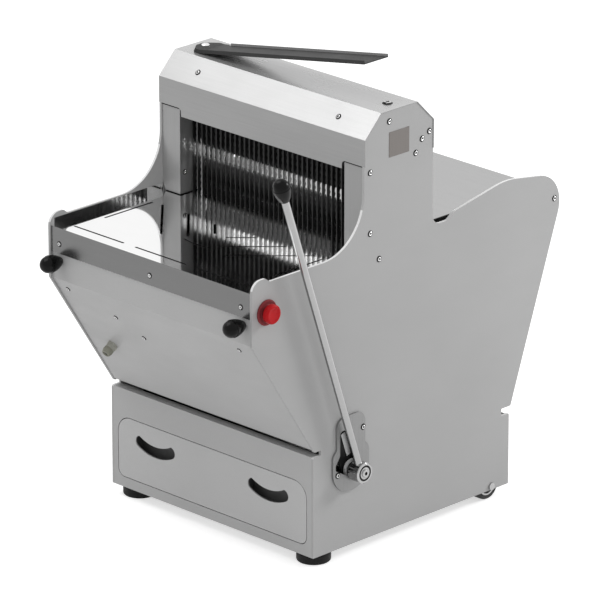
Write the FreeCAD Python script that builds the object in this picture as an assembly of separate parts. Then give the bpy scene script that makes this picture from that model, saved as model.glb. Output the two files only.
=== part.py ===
"""Electric bread slicer with a hand lever, as separate pieces.

Built in millimetres with X to the machine's right, Y to its back and Z up. While it is built, X is 0
on the left panel's outside, Y is 0 on the base's front and Z is 0 on the panels' lower edge. Every
piece is moved at the end, so that the origin is under the middle of the whole machine, on the floor.
"""
import FreeCAD, Part
import math
import os

V = FreeCAD.Vector

# Overall sizes
WIDTH = 510.0               # over the two side panels
BASE_DEPTH = 500.6          # base, front face to rear face
BASE_HEIGHT = 189.6         # top of the base's front sheet
TABLE_Z = 531.0             # top of both tables
TABLE_FRONT = -146.4        # front face of the output table's lip
HOOD_RISE = 253.6           # table to the hood's flat top
HOOD_FRONT = 125.3          # hood's front face
HOOD_BACK = 297.8           # hood's rear face
REAR_OVERHANG = 146.7       # rear corner of the panels past the base
FOOT_HEIGHT = 21.0

# Sheets and clearances
PANEL_T = 5.0
SHEET_T = 2.0
HOOD_T = 1.2
RUN_GAP = 0.5               # between sliding flat faces
TURN_GAP = 0.08             # round a turning or sliding shaft
NEAR_GAP = 0.3              # between curved faces that move past each other
SCREW_GAP = 0.1             # round a screw's shank

# Opening, blades and frames
POST_WIDTH = 45.0
OPENING_TOP_RISE = 149.0    # table to the hood's lower front edge
BLADE_PITCH = 12.0
BLADE_T = 1.0
BLADE_DEPTH = 5.0           # at the frames' bars
BLADE_WIDE = 10.1           # where the bars of neither frame come by
BLADE_STEP = 2.0            # from a bar's reach to where a blade widens
BLADE_MID_Y = 156.93        # between the two sets of blades
BLADE_LAP = 1.57            # each set's rear or front face past that middle
BAR_T = 10.0                # frame bars, front to back
BAR_H = 20.0
STILE_W = 18.0
STILE_OUT = PANEL_T + 18.0  # stile's outer edge from the panel's outside
GUIDE_OUT = PANEL_T + 7.5   # frame guide's outer face, likewise
FRAME_LOW = TABLE_Z - 76.0
FRAME_HIGH = TABLE_Z + 204.0
STROKE = 12.0               # frames move this far up and down

# Crank drive
DRIVE_PLATE_Z = BASE_HEIGHT + 10.4
CRANK_Z = DRIVE_PLATE_Z + 140.0
CRANK_R = 15.0
PIN_R = 8.0
YOKE_T = 8.0
YOKE_X = (WIDTH / 2 - 55.0, WIDTH / 2 + 47.0)
YOKE_PLAY = 3.0             # slot over the pin, above and below
CRANK_PULLEY_R = 70.0
MOTOR_PULLEY_R = 28.0
MOTOR_Y = BLADE_MID_Y + 173.0
MOTOR_Z = DRIVE_PLATE_Z + 100.0
MOTOR_R = 65.0
SPINDLE_R = 7.0
MOTOR_X = (100.0, 310.0)
BELT_X = (63.0, 77.0)
BELT_T = 4.0

# Lever and pusher
LEVER_Y = 98.0
LEVER_Z = 142.5
LEVER_LEAN = 18.8           # degrees forward of upright, at rest
LEVER_ROD_R = 7.0
LEVER_ROD_X = 20.0          # rod's middle from the right panel's outside
LEVER_LENGTH = 590.0
KNOB_R = 16.0
SHAFT_R = 10.0
ARM_T = 4.5
ARM_RIB_T = 1.5             # part of that which is the rib on the arm's outer side
ARM_GAP = 1.0
SLOT_SHIFT = 5.5            # arm slot's middle behind the arm's own line
ROD_R = 7.0
ROD_IN = PANEL_T + 28.0     # guide rod's middle from a panel's outside
ROD_DROP = 31.0             # table to the guide rods' middle
DRIVE_PIN_R = 5.0
DRIVE_PIN_DROP = 83.0       # table to the drive pins
DRIVE_PIN_Y = -6.0
PUSHER_FOOT_Y = 200.0
PUSHER_LEAN = 13.5          # degrees, top towards the blades
PUSHER_RISE = 134.0
BRACKET_T = 4.0
BRACKET_MID = -7.4          # bracket plate's middle from the lever's axis

# The bracket plate's screws, and its window, from the lever's axis as (y, z)
BRACKET_SCREWS = [(22.4, 74.0), (-41.0, -0.5), (26.0, -10.0)]
LEVER_WINDOW = [
    (-46.0, 9.0, 2.0), (12.0, -24.5, 3.0), (9.0, 0.0), (2.0, 34.0), (-13.0, 80.0, 8.0),
    (-35.0, 80.0, 8.0), (-35.0, 34.0, 10.0), (-46.0, 18.0, 6.0),
]

# Base, drawer and wheels
DRAWER_SIDE_GAP = 17.0
DRAWER_LOW = 20.7
DRAWER_HIGH = 135.5
DRAWER_DEPTH = BASE_DEPTH - 100.6
HAND_SLOT_IN = 95.0         # hand slot's middle from the drawer front's end
HAND_SLOT_HALF = 50.5
HAND_SLOT_TIP = 89.1        # heights from the drawer front's lower edge: tips,
HAND_SLOT_TOP = 78.7        # upper edge in the middle
HAND_SLOT_LOW = 57.1        # and lower edge in the middle
FOOT_R = 31.0
FOOT_X = 34.3
FOOT_Y = 35.9
WHEEL_R = 28.0
WHEEL_Y = BASE_DEPTH - 44.6
WHEEL_W = 32.0
AXLE_R = 4.0

# Carrying handles, stop button and tray
HANDLE_IN = PANEL_T + 20.5
HANDLE_DROP = 61.5
HANDLE_ROD_R = 6.0
HANDLE_LENGTH = 270.0
HANDLE_KNOB_L = 42.0
STOP_Y = -114.2
STOP_DROP = 39.9
TRAY_X = 28.8               # tray's pivot
TRAY_Y = HOOD_FRONT + 87.0
TRAY_FRONT = HOOD_FRONT + 50.7
TRAY_BACK = HOOD_FRONT + 110.7
TRAY_LEFT = 15.0
TRAY_FOLD = 50.0            # the tray is flat up to here, and rises from here
TRAY_RIGHT = 459.0
TRAY_TILT = 10.1            # degrees
TRAY_WALL = 7.0
TRAY_LIFT = 0.8             # hood to the tray's flat end

# Places that follow from the sizes above
IN_L = PANEL_T
IN_R = WIDTH - PANEL_T
MID_X = WIDTH / 2
OPEN_L = PANEL_T + POST_WIDTH
OPEN_R = WIDTH - OPEN_L
HOOD_TOP = TABLE_Z + HOOD_RISE
OPENING_TOP = TABLE_Z + OPENING_TOP_RISE
TABLE_UNDER = TABLE_Z - SHEET_T
ROD_Z = TABLE_Z - ROD_DROP
DRIVE_PIN_Z = TABLE_Z - DRIVE_PIN_DROP
COLUMN_FRONT = HOOD_FRONT - 0.3
COLUMN_BACK = HOOD_BACK - 0.8
WHEEL_Z = WHEEL_R - FOOT_HEIGHT
STOP_Z = TABLE_Z - STOP_DROP
HANDLE_Z = TABLE_Z - HANDLE_DROP
FRAME_A_Y = BLADE_MID_Y + BLADE_LAP - BLADE_DEPTH - BAR_T
FRAME_B_Y = BLADE_MID_Y - BLADE_LAP + BLADE_DEPTH
GUIDE_FRONT = FRAME_A_Y - RUN_GAP - 5.0
GUIDE_BACK = FRAME_B_Y + BAR_T + RUN_GAP + 5.0
TABLE_BACK = GUIDE_FRONT
INPUT_FRONT = GUIDE_BACK + 5.0
INPUT_BACK = BASE_DEPTH + 116.4
FEET = [(FOOT_X, FOOT_Y), (WIDTH - FOOT_X, FOOT_Y)]
LIP_SCREW_X = (25.6, MID_X, WIDTH - 29.8)
PLANE_DIRECTION = {"x": V(1, 0, 0), "y": V(0, 1, 0), "z": V(0, 0, 1)}

pieces = {}
fixings = {"panel_screws": [], "sheet_screws": []}


def keep(name, *shapes):
    """Keep one or more solids as the node of that name."""
    solids = []
    for shape in shapes:
        solids.extend(shape.Solids)
    pieces[name] = solids[0] if len(solids) == 1 else Part.Compound(solids)


def box(x0, x1, y0, y1, z0, z1):
    """Box between two corners."""
    return Part.makeBox(x1 - x0, y1 - y0, z1 - z0, V(x0, y0, z0))


def rod(direction, radius, start, end, a, b):
    """Cylinder along x, y or z from start to end, at (a, b) in the other two directions."""
    if direction == "x":
        base = V(start, a, b)
    elif direction == "y":
        base = V(a, start, b)
    else:
        base = V(a, b, start)
    return Part.makeCylinder(radius, end - start, base, PLANE_DIRECTION[direction])


def place(direction, level, a, b):
    """Point of a drawing plane: (y, z) across x, (x, z) across y or (x, y) across z."""
    if direction == "x":
        return V(level, a, b)
    if direction == "y":
        return V(a, level, b)
    return V(a, b, level)


def prism(direction, start, end, corners):
    """Closed outline pushed from start to end. A corner is (a, b) or (a, b, radius)."""
    points = [place(direction, start, c[0], c[1]) for c in corners]
    ends = []
    for i, corner in enumerate(corners):
        point = points[i]
        if len(corner) < 3:
            ends.append((point, None, point))
            continue
        back = (points[i - 1] - point).normalize()
        onward = (points[(i + 1) % len(points)] - point).normalize()
        half = back.getAngle(onward) / 2
        run = corner[2] / math.tan(half)
        inward = (back + onward).normalize()
        middle = point + inward * (corner[2] / math.sin(half) - corner[2])
        ends.append((point + back * run, middle, point + onward * run))
    edges = []
    for i, (first, middle, last) in enumerate(ends):
        if middle is not None:
            edges.append(Part.Arc(first, middle, last).toShape())
        following = ends[(i + 1) % len(ends)][0]
        if last.distanceToPoint(following) > 1e-6:
            edges.append(Part.LineSegment(last, following).toShape())
    face = Part.Face(Part.Wire(edges))
    solid = face.extrude(PLANE_DIRECTION[direction] * (end - start))
    return solid


def beside(points, distance):
    """Open line moved to the left of its direction, with mitred corners."""
    moved = []
    for i, (a, b) in enumerate(points):
        normals = []
        for j in (i - 1, i):
            if 0 <= j < len(points) - 1:
                da = points[j + 1][0] - points[j][0]
                db = points[j + 1][1] - points[j][1]
                length = math.hypot(da, db)
                normals.append((-db / length, da / length))
        na = sum(n[0] for n in normals) / len(normals)
        nb = sum(n[1] for n in normals) / len(normals)
        square = na * na + nb * nb
        moved.append((a + distance * na / square, b + distance * nb / square))
    return moved


def sheet(direction, start, end, points, thickness):
    """Bent sheet: the line is one face, and the thickness lies to its left."""
    outline = list(points) + list(reversed(beside(points, thickness)))
    return prism(direction, start, end, outline)


def slot(x0, y0, x1, y1, width):
    """Cutter for a round-ended slot through a table."""
    length = math.hypot(x1 - x0, y1 - y0)
    along = V((x1 - x0) / length, (y1 - y0) / length, 0)
    side = V(-along.y, along.x, 0) * (width / 2)
    low = TABLE_UNDER - 1
    first = V(x0, y0, low)
    last = V(x1, y1, low)
    cap = along * (width / 2)
    edges = [
        Part.LineSegment(first + side, last + side).toShape(),
        Part.Arc(last + side, last + cap, last - side).toShape(),
        Part.LineSegment(last - side, first - side).toShape(),
        Part.Arc(first - side, first - cap, first + side).toShape(),
    ]
    return Part.Face(Part.Wire(edges)).extrude(V(0, 0, SHEET_T + 2))


def mirrored(shape):
    """The same shape on the machine's other side."""
    return shape.mirror(V(MID_X, 0, 0), V(1, 0, 0))


def turned(edges, base, axis):
    """Closed half profile turned once round an axis."""
    solid = Part.Face(Part.Wire(edges)).revolve(base, axis, 360).Solids[0]
    if solid.Volume < 0:
        solid.reverse()
    return solid


def screw(point, outward, radius, shank, depth):
    """Domed screw: head outside the face at point, shank into it."""
    dome = radius * 0.45
    rim = radius * 0.12
    side = outward.cross(V(0.31, 0.87, 0.38)).normalize()

    def at(r, height):
        return point + side * r + outward * height

    flat = radius * 0.35
    shoulder = at(radius * 0.8, rim + (dome - rim) * 0.62)
    edges = [
        Part.LineSegment(at(0, -depth), at(shank, -depth)).toShape(),
        Part.LineSegment(at(shank, -depth), at(shank, 0)).toShape(),
        Part.LineSegment(at(shank, 0), at(radius, 0)).toShape(),
        Part.LineSegment(at(radius, 0), at(radius, rim)).toShape(),
        Part.Arc(at(radius, rim), shoulder, at(flat, dome)).toShape(),
        Part.LineSegment(at(flat, dome), at(0, dome)).toShape(),
        Part.LineSegment(at(0, dome), at(0, -depth)).toShape(),
    ]
    return turned(edges, point, outward)


def screw_hole(point, outward, shank, depth):
    """Cutter for that screw's shank."""
    return Part.makeCylinder(shank + SCREW_GAP, depth + 2, point - outward * (depth + 1), outward)


LEFT = V(-1, 0, 0)
RIGHT = V(1, 0, 0)
FRONT = V(0, -1, 0)
UP = V(0, 0, 1)
PANEL_SCREW_R = 4.5
PANEL_SHANK_R = 2.5

# Screws of a side panel, as (y, z)
PANEL_SCREWS = [
    (186.4, TABLE_Z + 233.3), (287.0, TABLE_Z + 192.0), (268.7, TABLE_Z + 181.9),
    (253.0, TABLE_Z + 159.7), (139.4, TABLE_Z + 150.7), (140.0, TABLE_Z + 38.8),
    (162.5, TABLE_Z - 13.5), (BASE_DEPTH + 112.7, TABLE_Z - 13.5),
]

# Hood profile in (y, z), front to back
HOOD_LINE = [
    (HOOD_FRONT, OPENING_TOP), (HOOD_FRONT, HOOD_TOP - 40.6), (HOOD_FRONT + 39.7, HOOD_TOP),
    (HOOD_BACK - 41.8, HOOD_TOP), (HOOD_BACK, HOOD_TOP - 41.4), (HOOD_BACK, OPENING_TOP + 10.0),
]
HOOD_STEP_Z = OPENING_TOP + 15.0


def side_panels():
    """Both side panels, with their screws' holes and the lever shaft's bushes."""
    inner = beside(HOOD_LINE, -HOOD_T)
    slope_low = (BASE_DEPTH + 3.9, 149.5, 3.0)
    outline = [
        (0.0, 0.0), (BASE_DEPTH, 0.0), (BASE_DEPTH, 135.9, 3.0), (BASE_DEPTH - 19.9, 135.9),
        (BASE_DEPTH - 19.9, 149.5), slope_low,
        (BASE_DEPTH + REAR_OVERHANG, TABLE_Z + 26.5, 60.0),
        (BASE_DEPTH - 13.6, TABLE_Z + 52.5, 150.0),
        (COLUMN_BACK + 55.0, TABLE_Z + 27.0, 12.0), (COLUMN_BACK + 38.0, TABLE_Z + 14.5, 12.0),
        (COLUMN_BACK, TABLE_Z + 14.5, 20.0),
        (COLUMN_BACK, HOOD_LINE[-1][1] - NEAR_GAP), (inner[-1][0], HOOD_LINE[-1][1] - NEAR_GAP),
        inner[4], inner[3], inner[2], inner[1],
        (inner[0][0], HOOD_STEP_Z), (COLUMN_FRONT, HOOD_STEP_Z),
        (COLUMN_FRONT, TABLE_Z + 14.2, 99.0),
        (-106.5, TABLE_Z + 14.2, 8.0), (-116.0, TABLE_Z + 22.0, 9.0),
        (TABLE_FRONT - 2.8, TABLE_Z + 22.0, 22.0),
        (TABLE_FRONT - 2.8, TABLE_Z - 96.5, 4.0), (-1.0, BASE_HEIGHT + 16.0, 6.0),
        (3.0, BASE_HEIGHT + 9.4, 3.0),
        (18.9, BASE_HEIGHT + 9.4), (18.9, BASE_HEIGHT), (0.0, BASE_HEIGHT, 3.0),
    ]
    left = prism("x", 0.0, PANEL_T, outline)
    right = prism("x", IN_R, WIDTH, outline)
    bush_r = SHAFT_R + 4.0
    holes = [
        rod("x", bush_r, -1, WIDTH + 1, LEVER_Y, LEVER_Z),
        rod("x", AXLE_R, -1, WIDTH + 1, WHEEL_Y, WHEEL_Z),
    ]
    screws = []
    for y, z in PANEL_SCREWS:
        for point, outward in ((V(WIDTH, y, z), RIGHT), (V(0, y, z), LEFT)):
            screws.append(screw(point, outward, PANEL_SCREW_R, PANEL_SHANK_R, PANEL_T))
            holes.append(screw_hole(point, outward, PANEL_SHANK_R, PANEL_T))
    left = left.cut(holes)
    stop_hole = rod("x", 11.0, IN_R - 1, WIDTH + 1, STOP_Y, STOP_Z)
    lever_holes = [
        rod("x", PANEL_SHANK_R + SCREW_GAP, IN_R - 1, WIDTH + 1, LEVER_Y + y, LEVER_Z + z)
        for y, z in BRACKET_SCREWS
    ]
    window = lever_window(IN_R - 1, WIDTH + 1)
    window = window.cut(rod("x", bush_r + 4.0, IN_R - 2, WIDTH + 2, LEVER_Y, LEVER_Z))
    lever_holes.append(max(window.Solids, key=lambda solid: solid.Volume))
    right = right.cut(holes + [stop_hole] + lever_holes)
    keep("left_side_panel", left)
    keep("right_side_panel", right)
    fixings["panel_screws"].extend(screws)
    bush = rod("x", bush_r, 0.0, PANEL_T, LEVER_Y, LEVER_Z)
    bush = bush.cut(rod("x", SHAFT_R + TURN_GAP, -1, PANEL_T + 1, LEVER_Y, LEVER_Z))
    keep("shaft_bushes", bush, mirrored(bush))


def lever_window(x0, x1):
    """Cutter for the opening beside the lever's shaft."""
    corners = [(LEVER_Y + c[0], LEVER_Z + c[1]) + c[2:] for c in LEVER_WINDOW]
    return prism("x", x0, x1, corners)


def hood():
    """Hood sheet with its fixings, and the bolt that the tray swings on."""
    cover = sheet("x", -HOOD_T, WIDTH + HOOD_T, HOOD_LINE, -HOOD_T)
    side_notch = prism("y", HOOD_FRONT - 1, HOOD_FRONT + 6, [
        (-10.0, OPENING_TOP - 1), (OPEN_L + 5.0, OPENING_TOP - 1),
        (OPEN_L + 5.0, HOOD_STEP_Z, 8.0), (-10.0, HOOD_STEP_Z),
    ])
    slope = V(0, -HOOD_LINE[2][1] + HOOD_LINE[1][1], HOOD_LINE[2][0] - HOOD_LINE[1][0]).normalize()
    share = 0.485
    chamfer_y = HOOD_LINE[1][0] + share * (HOOD_LINE[2][0] - HOOD_LINE[1][0])
    chamfer_z = HOOD_LINE[1][1] + share * (HOOD_LINE[2][1] - HOOD_LINE[1][1])
    screws = []
    holes = []
    for x in (79.0, WIDTH - 82.0):
        point = V(x, chamfer_y, chamfer_z)
        screws.append(screw(point, slope, 4.2, PANEL_SHANK_R, 8.0))
        holes.append(screw_hole(point, slope, PANEL_SHANK_R, 8.0))
    bolt_spot = V(WIDTH - 29.5, TRAY_Y, HOOD_TOP)
    bolt = screw(bolt_spot, UP, 8.0, 4.0, 12.0)
    pivot_r = 5.0
    bolt_hole = screw_hole(bolt_spot, UP, 4.0, 12.0)
    pivot_hole = rod("z", pivot_r + SCREW_GAP, HOOD_TOP - 20, HOOD_TOP + 1, TRAY_X, TRAY_Y)
    cover = cover.cut([side_notch, mirrored(side_notch), bolt_hole, pivot_hole] + holes)
    keep("hood_cover", cover)
    fixings["sheet_screws"].extend(screws + [bolt])
    under_head = TRAY_LIFT + SHEET_T + NEAR_GAP
    pivot = screw(V(TRAY_X, TRAY_Y, HOOD_TOP + under_head), UP, 7.5, pivot_r, under_head + 12.0)
    collar = rod("z", 10.0, HOOD_TOP, HOOD_TOP + TRAY_LIFT - NEAR_GAP, TRAY_X, TRAY_Y)
    keep("tray_pivot_bolt", pivot.fuse(collar).removeSplitter())
    bag_tray(HOOD_TOP + TRAY_LIFT, pivot_r)


def bag_tray(low, pivot_r):
    """Tray with two low walls, bent up from a flat end that swings on the hood's left bolt."""
    slope = math.tan(math.radians(TRAY_TILT))
    fold = (TRAY_FOLD, low)
    end = (TRAY_RIGHT, low + slope * (TRAY_RIGHT - TRAY_FOLD))
    rear_start = (TRAY_FOLD + 22.0, low + slope * 22.0)
    outline = prism("z", low - 1, end[1] + 10, [
        (TRAY_RIGHT + 10.0, TRAY_FRONT), (TRAY_RIGHT + 10.0, TRAY_BACK),
        (TRAY_FOLD + 16.0, TRAY_BACK), (TRAY_FOLD + 10.0, TRAY_BACK + 5.0, 2.0),
        (TRAY_LEFT + 22.0, TRAY_BACK + 5.0, 8.0), (TRAY_LEFT, TRAY_BACK - 14.0, 8.0),
        (TRAY_LEFT, TRAY_FRONT + 27.0, 10.0), (TRAY_LEFT + 21.0, TRAY_FRONT, 3.0),
    ])
    floor = sheet("y", TRAY_FRONT - 1, TRAY_BACK + 6, [(TRAY_LEFT - 1, low), fold, end], SHEET_T)
    walls = [
        sheet("y", TRAY_FRONT, TRAY_FRONT + SHEET_T, [(TRAY_LEFT + 24.0, low), fold, end], TRAY_WALL),
        sheet("y", TRAY_BACK - SHEET_T, TRAY_BACK, [rear_start, end], TRAY_WALL - 1),
    ]
    tray = floor.common(outline).fuse(walls).removeSplitter()
    keep("bag_holder_tray", tray.cut(rod("z", pivot_r + TURN_GAP, low - 1, low + 9, TRAY_X, TRAY_Y)))


def posts():
    """Folded sheets on both sides of the opening, and the screws in their inner faces."""
    front = HOOD_FRONT + 1.7
    back = BLADE_MID_Y + 12.0
    t = 1.5
    low = TABLE_Z
    side_top = FRAME_HIGH - BAR_H - STROKE - 5.0
    front_top = TABLE_Z + 199.0
    face = prism("y", front, front + t, [
        (IN_L + 8.4, low), (OPEN_L, low), (OPEN_L, front_top), (IN_L, front_top), (IN_L, low + 14.0),
    ])
    flange = box(OPEN_L - t, OPEN_L, front, back, low, side_top)
    left = face.fuse(flange).removeSplitter()
    spot = V(OPEN_L, 138.0, TABLE_Z + 41.0)
    fixing = screw(spot, RIGHT, 3.5, 2.0, t)
    left = left.cut(screw_hole(spot, RIGHT, 2.0, t))
    keep("left_post", left)
    keep("right_post", mirrored(left))
    fixings["sheet_screws"].extend([fixing, mirrored(fixing)])


def tables():
    """Output table with its crumb slots, side strips, blade comb and input table."""
    lip_low = TABLE_Z - 48.0
    top = box(IN_L, IN_R, TABLE_FRONT, TABLE_BACK, TABLE_UNDER, TABLE_Z)
    lip = box(IN_L, IN_R, TABLE_FRONT, TABLE_FRONT + SHEET_T, lip_low, TABLE_Z)
    table = top.fuse(lip).removeSplitter()
    w = 4.5
    row_y = -120.0
    cutters = []
    row_step = (WIDTH - 38.0 * 2 - 123.0) / 2
    for i in range(3):
        start = 38.0 + i * row_step
        cutters.append(slot(start, row_y, start + 123.0, row_y, w))
    left_slots = [
        (43.0, -50.6, 43.0, 63.6), (66.5, 67.0, 173.4, -39.5), (134.7, 65.4, 216.5, -15.8),
        (204.6, 61.7, 240.2, 26.7),
    ]
    for x0, y0, x1, y1 in left_slots:
        shift = MID_X - 255.0
        cutters.append(slot(x0 + shift, y0, x1 + shift, y1, w))
        cutters.append(slot(WIDTH - x0 - shift, y0, WIDTH - x1 - shift, y1, w))
    cutters.append(arc_slot(MID_X, 59.0, 95.0, w))
    table = table.cut(cutters)
    for x in LIP_SCREW_X:
        spot = V(x, TABLE_FRONT, TABLE_Z - 30.0)
        fixings["sheet_screws"].append(screw(spot, FRONT, 4.0, 2.0, 2 * SHEET_T))
        table = table.cut(screw_hole(spot, FRONT, 2.0, 2 * SHEET_T))
    keep("output_table", table)
    strip = box(IN_L, IN_L + SHEET_T, TABLE_FRONT + 6.0, COLUMN_FRONT, TABLE_Z, TABLE_Z + 13.0)
    keep("table_side_strips", strip, mirrored(strip))
    comb = box(OPEN_L - 7.0, OPEN_R + 7.0, TABLE_BACK, INPUT_FRONT, TABLE_UNDER, TABLE_Z)
    front = BLADE_MID_Y - BLADE_WIDE / 2 - RUN_GAP
    back = BLADE_MID_Y + BLADE_WIDE / 2 + RUN_GAP
    slots = [box(x - 1.5, x + 1.5, front, back, TABLE_UNDER - 1, TABLE_Z + 1) for x in blade_places()]
    keep("table_comb", comb.cut(slots))
    rear = sheet("x", OPEN_L, OPEN_R, [
        (INPUT_FRONT, TABLE_Z), (INPUT_BACK, TABLE_Z), (INPUT_BACK, TABLE_Z - 26.0),
    ], -SHEET_T)
    keep("input_table", rear)
    apron()


def arc_slot(x, y, radius, width):
    """Cutter for the short curved slot in the output table's middle."""
    low = V(x, y, TABLE_UNDER - 1)
    edges = []
    spread = math.radians(18.0)

    def at(r, angle):
        return low + V(r * math.sin(angle), -r * math.cos(angle), 0)

    inner = radius - width / 2
    outer = radius + width / 2
    tip = width / 2 / radius
    edges.append(Part.Arc(at(outer, -spread), at(outer, 0), at(outer, spread)).toShape())
    edges.append(Part.Arc(at(outer, spread), at(radius, spread + tip), at(inner, spread)).toShape())
    edges.append(Part.Arc(at(inner, spread), at(inner, 0), at(inner, -spread)).toShape())
    edges.append(Part.Arc(at(inner, -spread), at(radius, -spread - tip), at(outer, -spread)).toShape())
    return Part.Face(Part.Wire(edges)).extrude(V(0, 0, SHEET_T + 2))


def apron():
    """Folded sheet under the output table, its screws and the cable gland."""
    face_y = TABLE_FRONT + SHEET_T
    crease = (face_y, TABLE_Z - 97.0)
    foot = (2.0, BASE_HEIGHT + 13.0)
    line = [(foot[0] + 16.0, foot[1]), foot, crease, (face_y, TABLE_Z - 12.0)]
    skin = sheet("x", IN_L, IN_R, line, -SHEET_T)
    length = math.hypot(foot[0] - crease[0], crease[1] - foot[1])
    down = V(0, (foot[0] - crease[0]) / length, (foot[1] - crease[1]) / length)
    out = V(0, down.z, -down.y)
    start = V(0, crease[0], crease[1])
    spots = [(31.5, 22.9), (131.5, 61.8), (182.8, 97.6), (WIDTH - 49.4, 25.0)]
    cutters = []
    for x, run in spots:
        spot = start + down * run
        spot.x = x
        fixings["sheet_screws"].append(screw(spot, out, 3.6, 2.0, SHEET_T))
        cutters.append(screw_hole(spot, out, 2.0, SHEET_T))
    for x in LIP_SCREW_X:
        cutters.append(screw_hole(V(x, TABLE_FRONT, TABLE_Z - 30.0), FRONT, 2.0, 2 * SHEET_T))
    handle_hole = rod("y", HANDLE_ROD_R + 1.0, face_y - 1, face_y + SHEET_T + 1, HANDLE_IN, HANDLE_Z)
    cutters += [handle_hole, mirrored(handle_hole)]
    gland_at = start + down * 159.0
    gland_at.x = 68.0
    cutters.append(screw_hole(gland_at, out, 6.0, SHEET_T))
    keep("front_apron", skin.cut(cutters))
    nut = hexagon(gland_at, out, 11.0, 6.0)
    body = Part.makeCylinder(9.5, 12.0, gland_at + out * 6.0, out)
    cap = Part.makeCone(9.5, 7.5, 5.0, gland_at + out * 18.0, out)
    thread = Part.makeCylinder(6.0, 10.0, gland_at - out * 10.0, out)
    gland = nut.fuse([body, cap, thread]).removeSplitter()
    gland = gland.cut(Part.makeCylinder(4.5, 40.0, gland_at - out * 12.0, out))
    keep("cable_gland", gland)


def hexagon(point, outward, radius, height):
    """Hexagonal nut or head, radius over its corners."""
    side = outward.cross(RIGHT)
    if side.Length < 0.1:
        side = outward.cross(UP)
    side.normalize()
    other = outward.cross(side)
    corners = []
    for i in range(7):
        turn = math.radians(60 * (i % 6))
        corners.append(point + side * (radius * math.cos(turn)) + other * (radius * math.sin(turn)))
    return Part.Face(Part.makePolygon(corners)).extrude(outward * height)


def base():
    """Floor, front and rear sheets of the base, the rear cover and the cross members."""
    floor = box(IN_L, IN_R, SHEET_T, BASE_DEPTH - 80.6, 0.0, 3.0)
    keep("base_floor", floor.cut([rod("z", 5.0, -1, 5, x, y) for x, y in FEET]))
    front = box(IN_L, IN_R, 0.0, SHEET_T, 0.0, BASE_HEIGHT)
    shelf = box(IN_L, IN_R, 0.0, 18.0, BASE_HEIGHT - SHEET_T, BASE_HEIGHT)
    front = front.fuse(shelf).removeSplitter().cut(drawer_outline(-1.0, SHEET_T + 1, -1.5))
    keep("base_front_frame", front)
    keep("base_rear_panel", box(IN_L, IN_R, BASE_DEPTH - SHEET_T, BASE_DEPTH, 0.0, 133.0))
    inset = 6.0
    low = (BASE_DEPTH + 4.0 - inset, 152.0)
    rise = TABLE_Z + 26.5 - 149.5
    lean = (REAR_OVERHANG - 3.9) / rise
    high = (low[0] + lean * (TABLE_Z - 26.0 - 152.0), TABLE_Z - 26.0)
    keep("rear_cover", sheet("x", IN_L, IN_R, [(low[0] - 16.0, low[1]), low, high], SHEET_T))
    rear_y = INPUT_BACK - 27.0
    front_bar = box(IN_L, IN_R, TABLE_FRONT + 2 * SHEET_T, TABLE_FRONT + 18.0, TABLE_Z - 26.0, TABLE_UNDER)
    middle = box(ROD_IN + 10.0, WIDTH - ROD_IN - 10.0, GUIDE_BACK, GUIDE_BACK + 10.0, ROD_Z, TABLE_UNDER)
    rear = box(IN_L, IN_R, rear_y, rear_y + 15.0, ROD_Z - 15.0, TABLE_UNDER)
    rods = []
    for x in (ROD_IN, WIDTH - ROD_IN):
        rods.append(rod("y", ROD_R, GUIDE_BACK, rear_y + 10.0, x, ROD_Z))
    keep("guide_rods", *rods)
    bracket = box(GUIDE_OUT, ROD_IN + 10.0, GUIDE_BACK, GUIDE_BACK + 11.0, ROD_Z - 15.0, ROD_Z + 15.0)
    bracket = bracket.cut(rods)
    keep("cross_members", front_bar, middle, rear.cut(rods), bracket, mirrored(bracket))
    plate_z = DRIVE_PLATE_Z
    plate = box(14.0, WIDTH - 14.0, 120.0, BASE_DEPTH - 30.0, plate_z - 4.0, plate_z)
    ears = [box(IN_L, 14.0, 180.0, BASE_DEPTH - 30.0, plate_z - 4.0, plate_z)]
    ears.append(mirrored(ears[0]))
    cradle = box(MOTOR_X[0] + 20.0, MOTOR_X[1] - 60.0, MOTOR_Y - 45.0, MOTOR_Y + 45.0,
                 plate_z, MOTOR_Z - 38.0)
    cradle = cradle.cut(rod("x", MOTOR_R + NEAR_GAP, MOTOR_X[0], MOTOR_X[1], MOTOR_Y, MOTOR_Z))
    keep("drive_base_plate", plate.fuse(ears + [cradle]).removeSplitter())
    box_x = WIDTH - 150.0
    control_box = box(box_x, box_x + 110.0, 310.0, 420.0, plate_z, plate_z + 90.0)
    switch_x = WIDTH - 80.0
    stroke_switch = box(switch_x, switch_x + 24.0, GUIDE_BACK + 1.0, GUIDE_BACK + 9.0, ROD_Z - 14.0, ROD_Z)
    keep("electrical_boxes", control_box, stroke_switch, stop_contact_block())


def drawer_outline(y0, y1, inset):
    """Drawer front's outline pushed along y, smaller by inset all round."""
    left = DRAWER_SIDE_GAP + inset
    right = WIDTH - left
    low = DRAWER_LOW + inset
    high = DRAWER_HIGH - inset
    return prism("y", y0, y1, [
        (left, low, 15.0 - inset), (right, low, 15.0 - inset), (right, high, 30.0 - inset),
        (left, high, 30.0 - inset),
    ])


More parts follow.
